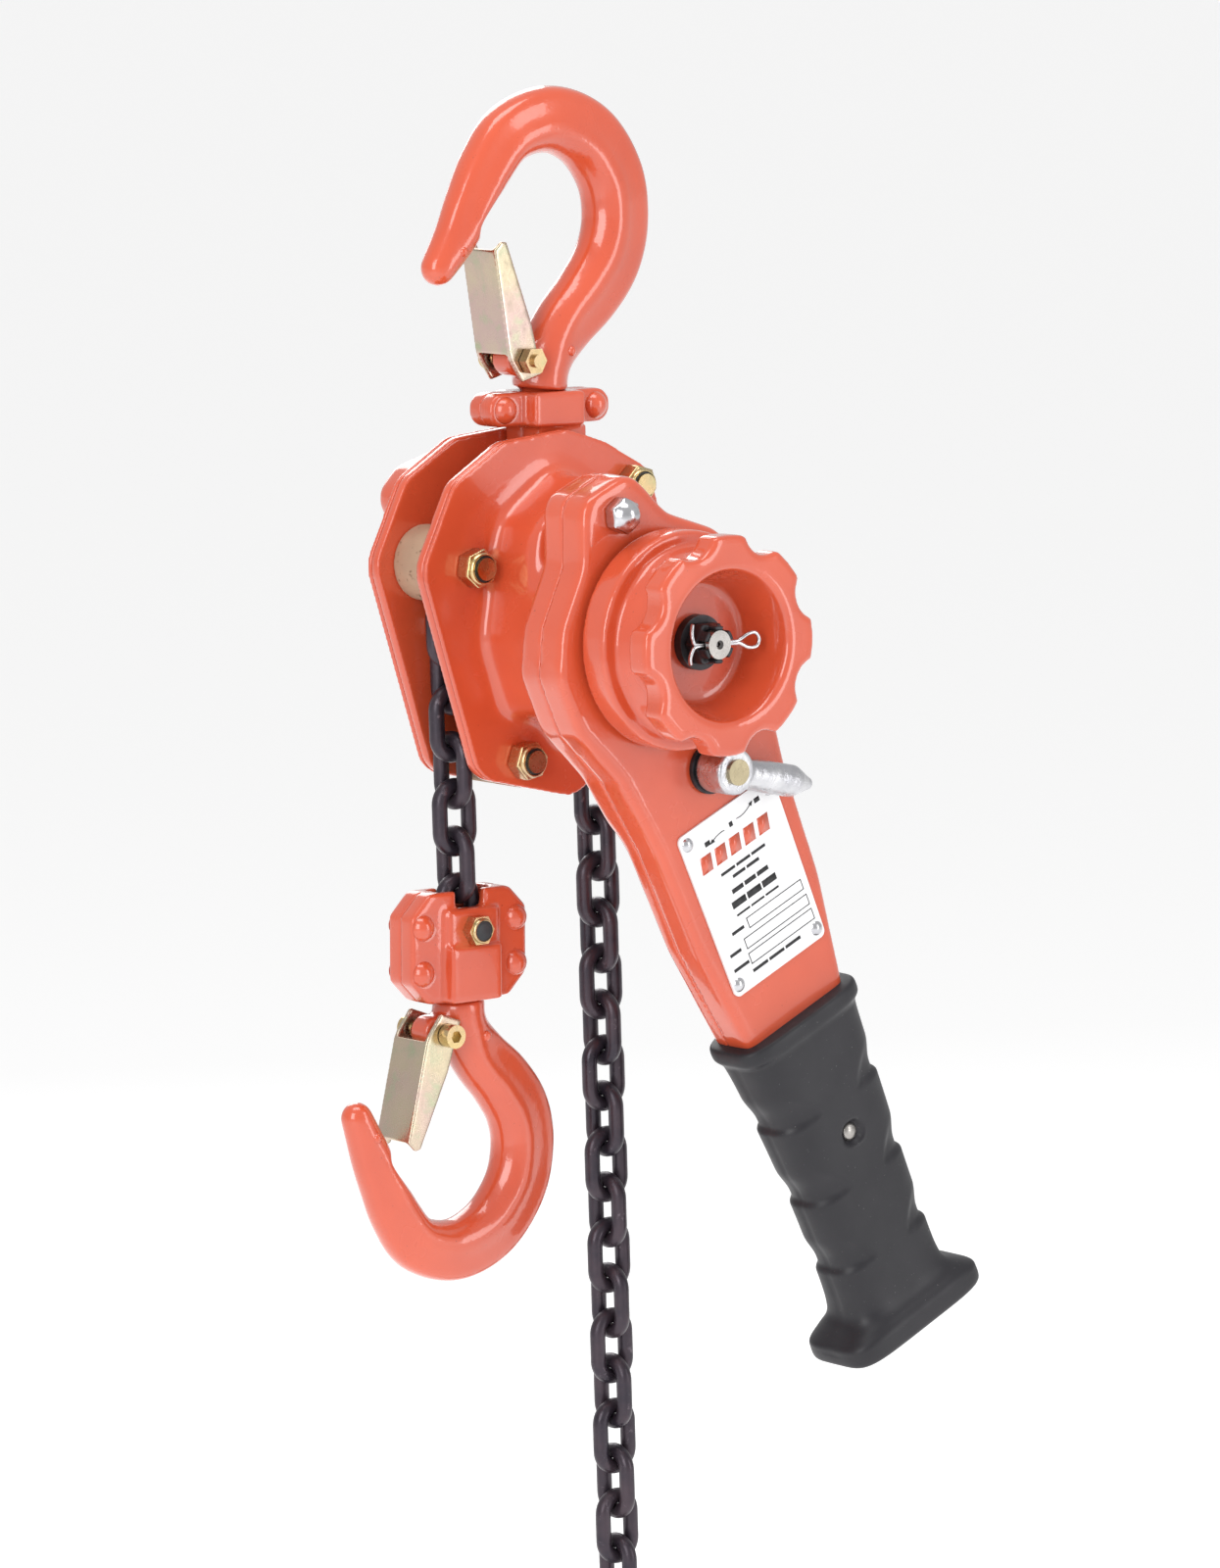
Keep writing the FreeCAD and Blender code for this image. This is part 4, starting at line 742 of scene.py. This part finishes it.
# Distance along the lever, half width, half depth, squareness and offset to one side.
GRIP_ROWS = np.array([(152.6, 28.2, 14.2, 4.0, 0), (153.4, 29.2, 15.0, 4.0, 0), (155.4, 29.5, 15.2, 4.0, 0),
                      (158.0, 29.2, 15.0, 4.0, 0.1), (160.2, 27.9, 14.2, 3.6, 0.2),
                      (163, 27.3, 14.0, 3.4, 0.4), (174, 26.4, 13.8, 3.2, 1.0),
                      (200, 24.9, 13.4, 3.0, 2.0), (226, 23.4, 13.1, 3.0, 2.4),
                      (252, 22.7, 13.0, 3.2, 2.6), (265, 22.9, 13.2, 3.4, 2.6), (270.5, 24.4, 14.0, 3.8, 2.6),
                      (274, 29.2, 15.8, 4.4, 2.6), (276.6, 32.8, 17.2, 4.8, 2.6), (279, 33.3, 17.4, 5.0, 2.6),
                      (282.6, 33.2, 17.3, 5.0, 2.6), (284.2, 32.2, 16.4, 5.0, 2.6),
                      (GRIP_END, 30.4, 14.8, 5.0, 2.6)])
SCOOP_LEDGES = (190.0, 222.0, 251.0)
SCOOP_LONG = 15.0
SCOOP_DEEP = 1.8
HOLE_AT = (2.4, 202.6)
HOLE_R = 4.6
HOLE_DEEP = 2.8
SEAM_DEEP = 0.3


def scoops(side, along):
    """How far the finger scoops cut in, at a share of the half width from -1 to 1."""
    depth = np.zeros_like(side)
    for ledge in SCOOP_LEDGES:
        phase = (along - ledge + SCOOP_LONG) / SCOOP_LONG
        fall = np.sin(np.clip(phase / 0.72, 0, 1) * math.pi / 2) ** 2
        rise = 1.0 - ramp(phase, 0.86, 1.03)
        reach = 0.30 + 0.45 * (1.0 - np.clip(phase, 0, 1)) ** 1.5
        cut = fall * rise * ramp(np.abs(side), reach, reach + 0.22)
        depth += np.where((phase > 0) & (phase < 1.05), cut, 0.0)
    return depth * SCOOP_DEEP


def grip_piece():
    fine = 0.65
    start = GRIP_ROWS[0, 0]
    alongs = np.unique(np.r_[np.arange(start, GRIP_END, fine), np.arange(start, 164, fine / 2),
                             np.arange(268, GRIP_END, fine / 2), GRIP_END])
    smooth = spline(GRIP_ROWS, 12)
    order = np.argsort(smooth[:, 0])
    at = smooth[order, 0]
    half_x, half_y, power, over = (np.interp(alongs, at, smooth[order, k]) for k in (1, 2, 3, 4))
    count = 236
    turn = 2 * math.pi * np.arange(count) / count
    c, s = np.cos(turn), np.sin(turn)
    points = []
    for i, along in enumerate(alongs):
        x = np.sign(c) * np.abs(c) ** (2 / power[i])
        y = np.sign(s) * np.abs(s) ** (2 / power[i])
        cut = scoops(x, np.full(count, along))
        seam = SEAM_DEEP * (np.abs(turn - math.pi) < 0.6 * 2 * math.pi / count) if 160 < along < 280 else 0.0
        px = x * (half_x[i] - cut - seam) + over[i]
        py = y * (half_y[i] - cut * 0.55)
        away = np.hypot(px - HOLE_AT[0], along - HOLE_AT[1])
        py = np.where(s < 0, py + HOLE_DEEP * (1 - ramp(away, HOLE_R - 0.7, HOLE_R + 0.3)), py)
        points += [on_lever(a, along, GRIP_Y + b) for a, b in zip(px, py)]
    faces = []
    for i in range(len(alongs) - 1):
        for k in range(count):
            n = (k + 1) % count
            faces.append((i * count + k, i * count + n, (i + 1) * count + n, (i + 1) * count + k))
    faces.append(tuple(reversed(range(count))))
    faces.append(tuple((len(alongs) - 1) * count + k for k in range(count)))
    mesh = joined([(points, faces)])
    relax(mesh, 2)
    add_piece("grip_moulding", mesh, "rubber_grip", "lever", ("lever_grip",))
    floor_y = GRIP_Y - 10.6
    stud = lathe([(3.3 * MM, 0.0), (3.2 * MM, 0.7 * MM), (2.4 * MM, 1.3 * MM), (0.9 * MM, 1.6 * MM)],
                 on_lever(HOLE_AT[0], HOLE_AT[1], floor_y), (0, -1, 0), 28)
    add_piece("grip_stud", joined([stud]), "plain_steel", "lever")


grip_piece()


# ---------------------------------------------------------------- nuts and studs
ACROSS_FLATS = 0.87
STAY_NUT_R = 7.2
STAY_R = 4.0
PIN_NUT_FACE = -13.6
PIN_NUT_R = 5.6
PIN_R = 3.0


def nut_dress(x, face_y, z, out, radius, stud_r, stud_long):
    """The rolled collar, lock ring and threaded end of one lock nut."""
    centre = Vector((x, face_y, z)) * MM
    axis = (0, out, 0)
    collar = lathe([(radius * 0.93 * MM, -0.3 * MM), (radius * 0.93 * MM, 0.5 * MM),
                    (radius * 0.86 * MM, 1.2 * MM), (radius * 0.76 * MM, 1.5 * MM),
                    ((stud_r + 0.9) * MM, 1.2 * MM)], centre, axis, 40)
    ring = lathe([((stud_r + 1.0) * MM, 0.4 * MM), ((stud_r + 0.95) * MM, 1.3 * MM),
                  ((stud_r + 0.1) * MM, 1.35 * MM)], centre, axis, 40)
    thread = []
    steps = 10
    for i in range(steps):
        low = -0.5 + stud_long * i / steps
        thread += [(stud_r * 0.9 * MM, low * MM), (stud_r * 1.0 * MM, (low + stud_long * 0.5 / steps) * MM)]
    thread += [(stud_r * 0.86 * MM, (stud_long - 0.2) * MM), (stud_r * 0.7 * MM, stud_long * MM)]
    return collar, ring, lathe(thread, centre, axis, 32)


collars = []
rings = []
studs = []
for bolt_x, bolt_z in BOLTS:
    for out in (-1, 1):
        collar, ring, stud = nut_dress(SHAFT_X + bolt_x, out * NUT_FACE, SHAFT_Z + bolt_z, out,
                                       STAY_NUT_R * ACROSS_FLATS, STAY_R, STUD_END - NUT_FACE - 0.02)
        collars.append(collar)
        rings.append(ring)
        studs.append(stud)
add_piece("stay_nut_collars", joined(collars), "yellow_zinc", "frame")
add_piece("stay_lock_rings", joined(rings), "nylon", "frame")
add_piece("stay_threads", joined(studs), "plain_steel", "frame")

pin_low, pin_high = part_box("chain_pin_bolt")
PIN_Z = (pin_low[2] + pin_high[2]) / 2 / MM
collar, ring, stud = nut_dress(BLOCK_X, PIN_NUT_FACE, PIN_Z, -1, PIN_NUT_R * ACROSS_FLATS, PIN_R, 1.35)
add_piece("chain_pin_collar", joined([collar]), "yellow_zinc", "bottom_block")
end = lathe([(PIN_R * MM, 0.0), (PIN_R * MM, 0.3 * MM), (2.7 * MM, 0.4 * MM)],
            Vector((BLOCK_X, pin_low[1] / MM + 0.25, PIN_Z)) * MM, (0, -1, 0), 32)
add_piece("chain_pin_ring", joined([ring, stud, end]), "nylon", "bottom_block")


# ---------------------------------------------------------------- rating plate
PLATE_FACE = -78.92


def strip(side0, side1, along0, along1, lean=0.0):
    """A thin printed bar on the plate."""
    corners = [(side0, along0), (side1, along0), (side1 - lean, along1), (side0 - lean, along1)]
    points = [on_lever(s, a, y) for y in (PLATE_FACE + 0.05, PLATE_FACE - 0.03) for s, a in corners]
    return points, [(0, 1, 2, 3), (7, 6, 5, 4), (0, 4, 5, 1), (1, 5, 6, 2), (2, 6, 7, 3), (3, 7, 4, 0)]


def ruled_box(side0, side1, along0, along1, line=0.35):
    return [strip(side0, side1, along0, along0 + line), strip(side0, side1, along1 - line, along1),
            strip(side0, side0 + line, along0, along1), strip(side1 - line, side1, along0, along1)]


def arrow(side0, side1, along, rise):
    """A curved arrow from side0 to side1, its head at side1."""
    path = []
    for i in range(9):
        t = i / 8
        lift = rise * 4 * t * (1 - t) * 0.5
        path.append(on_lever(side0 + (side1 - side0) * t, along + lift - rise * t, PLATE_FACE))
    head = [path[-1] + (path[-1] - path[-2]).normalized() * 1.9 * MM, path[-1]]
    return [tube(path, 0.16 * MM, 8), tube([head[1], head[0]], [0.75 * MM, 0.05 * MM], 8)]


marks = arrow(-3.5, -9.5, 75.0, -0.8) + arrow(3.0, 10.5, 74.0, 1.4)
marks += [strip(-13.5, -11.0, 74.6, 76.4), strip(-0.8, 0.9, 73.6, 75.4), strip(12.8, 15.4, 71.6, 73.4)]
for half, low, high in ((11.5, 88.4, 89.5), (7.0, 91.4, 92.6), (9.5, 96.0, 97.7), (11.5, 100.2, 102.8),
                        (11.0, 105.2, 106.0), (12.5, 126.7, 127.9)):
    gaps = np.linspace(-half, half, 4 if half > 8 else 3)
    for first, last in zip(gaps[:-1], gaps[1:]):
        marks.append(strip(first + 0.25, last - 0.5, low, high))
marks += [strip(-15.5, -9.5, 110.0, 111.2), strip(-19.5, -14.0, 116.8, 118.0)]
marks += [strip(-20.0, -12.5, 122.5, 123.7)]
marks += ruled_box(-7.5, 20.5, 108.4, 112.6) + ruled_box(-11.5, 20.8, 114.6, 118.9)
marks += ruled_box(-11.8, 20.8, 120.4, 124.8)
add_piece("plate_print", joined(marks), "ink", "lever")
band = [strip(-17.5 + 7.2 * i, -12.2 + 7.2 * i, 78.8, 85.0, 1.2) for i in range(5)]
add_piece("plate_band", joined(band), "orange_enamel", "lever")


# ---------------------------------------------------------------- cotter, latches, selector
# Bent wire from one split end round the eye to the other: across, depth and height from the shaft axis.
COTTER_Y = -105.6
COTTER_R = 0.72
COTTER_ROUTE = ((-8.6, 1.4, 7.2), (-9.6, 0.6, 4.6), (-9.6, 0.0, 1.8), (-8.0, 0.0, 0.45), (0.0, 0.0, 0.4),
                (9.0, 0.0, 0.4), (11.5, -0.2, 0.9), (14.5, -0.8, 2.6), (17.6, -1.2, 2.9), (19.3, -1.3, 0.6),
                (18.0, -1.3, -1.9), (14.6, -0.8, -2.0), (11.5, -0.2, -0.5), (9.0, 0.0, -0.4),
                (0.0, 0.0, -0.4), (-8.0, 0.0, -0.45), (-9.7, 0.2, -1.8), (-10.2, 0.8, -4.4),
                (-9.4, 1.5, -6.6))


def cotter_piece():
    points = [(SHAFT_X + x, COTTER_Y + dy, SHAFT_Z + dz) for x, dy, dz in COTTER_ROUTE]
    path = spline(np.array(points), 6) * MM
    wire = tube([tuple(p) for p in path], COTTER_R * MM, 12)
    add_piece("cotter_wire", joined([wire]), "bright_zinc", "pinion", ("cotter_pin",))


cotter_piece()

FINE = 0.42 * MM
for latch in ("top_latch", "bottom_latch"):
    softened(latch, 5, finish="latch_zinc", first=1, voxel=FINE)
softened("selector_lever", 8, finish="cast_zinc", first=2, voxel=FINE * 1.2)
softened("castle_nut", 2, finish="black_steel", first=1, voxel=FINE)
softened("lever_cap_nut", 3, finish="bright_zinc", first=1, voxel=FINE)
softened("stay_nuts", 3, finish="yellow_zinc", first=1, voxel=FINE)
softened("stay_sleeve", 4, finish="tan_sleeve", first=1, voxel=FINE * 1.4)
COIL_R = 3.6
COIL_LONG = 6.0
COIL_TURNS = 4
COIL_STEPS = 24
for coil, body in (("top_latch_spring", "top_hook"), ("bottom_latch_spring", "bottom_hook")):
    spot = centre_of(coil)
    path = []
    last = COIL_TURNS * COIL_STEPS
    for i in range(last + 1):
        angle = 2 * math.pi * i / COIL_STEPS
        y = -3.0 + COIL_LONG * i / last - 3.4
        path.append(Vector(spot) + Vector((COIL_R * math.cos(angle), y, COIL_R * math.sin(angle))) * MM)
    add_piece(coil + "_coil", joined([tube(path, 0.5 * MM, 8)]), "plain_steel", body, (coil,))
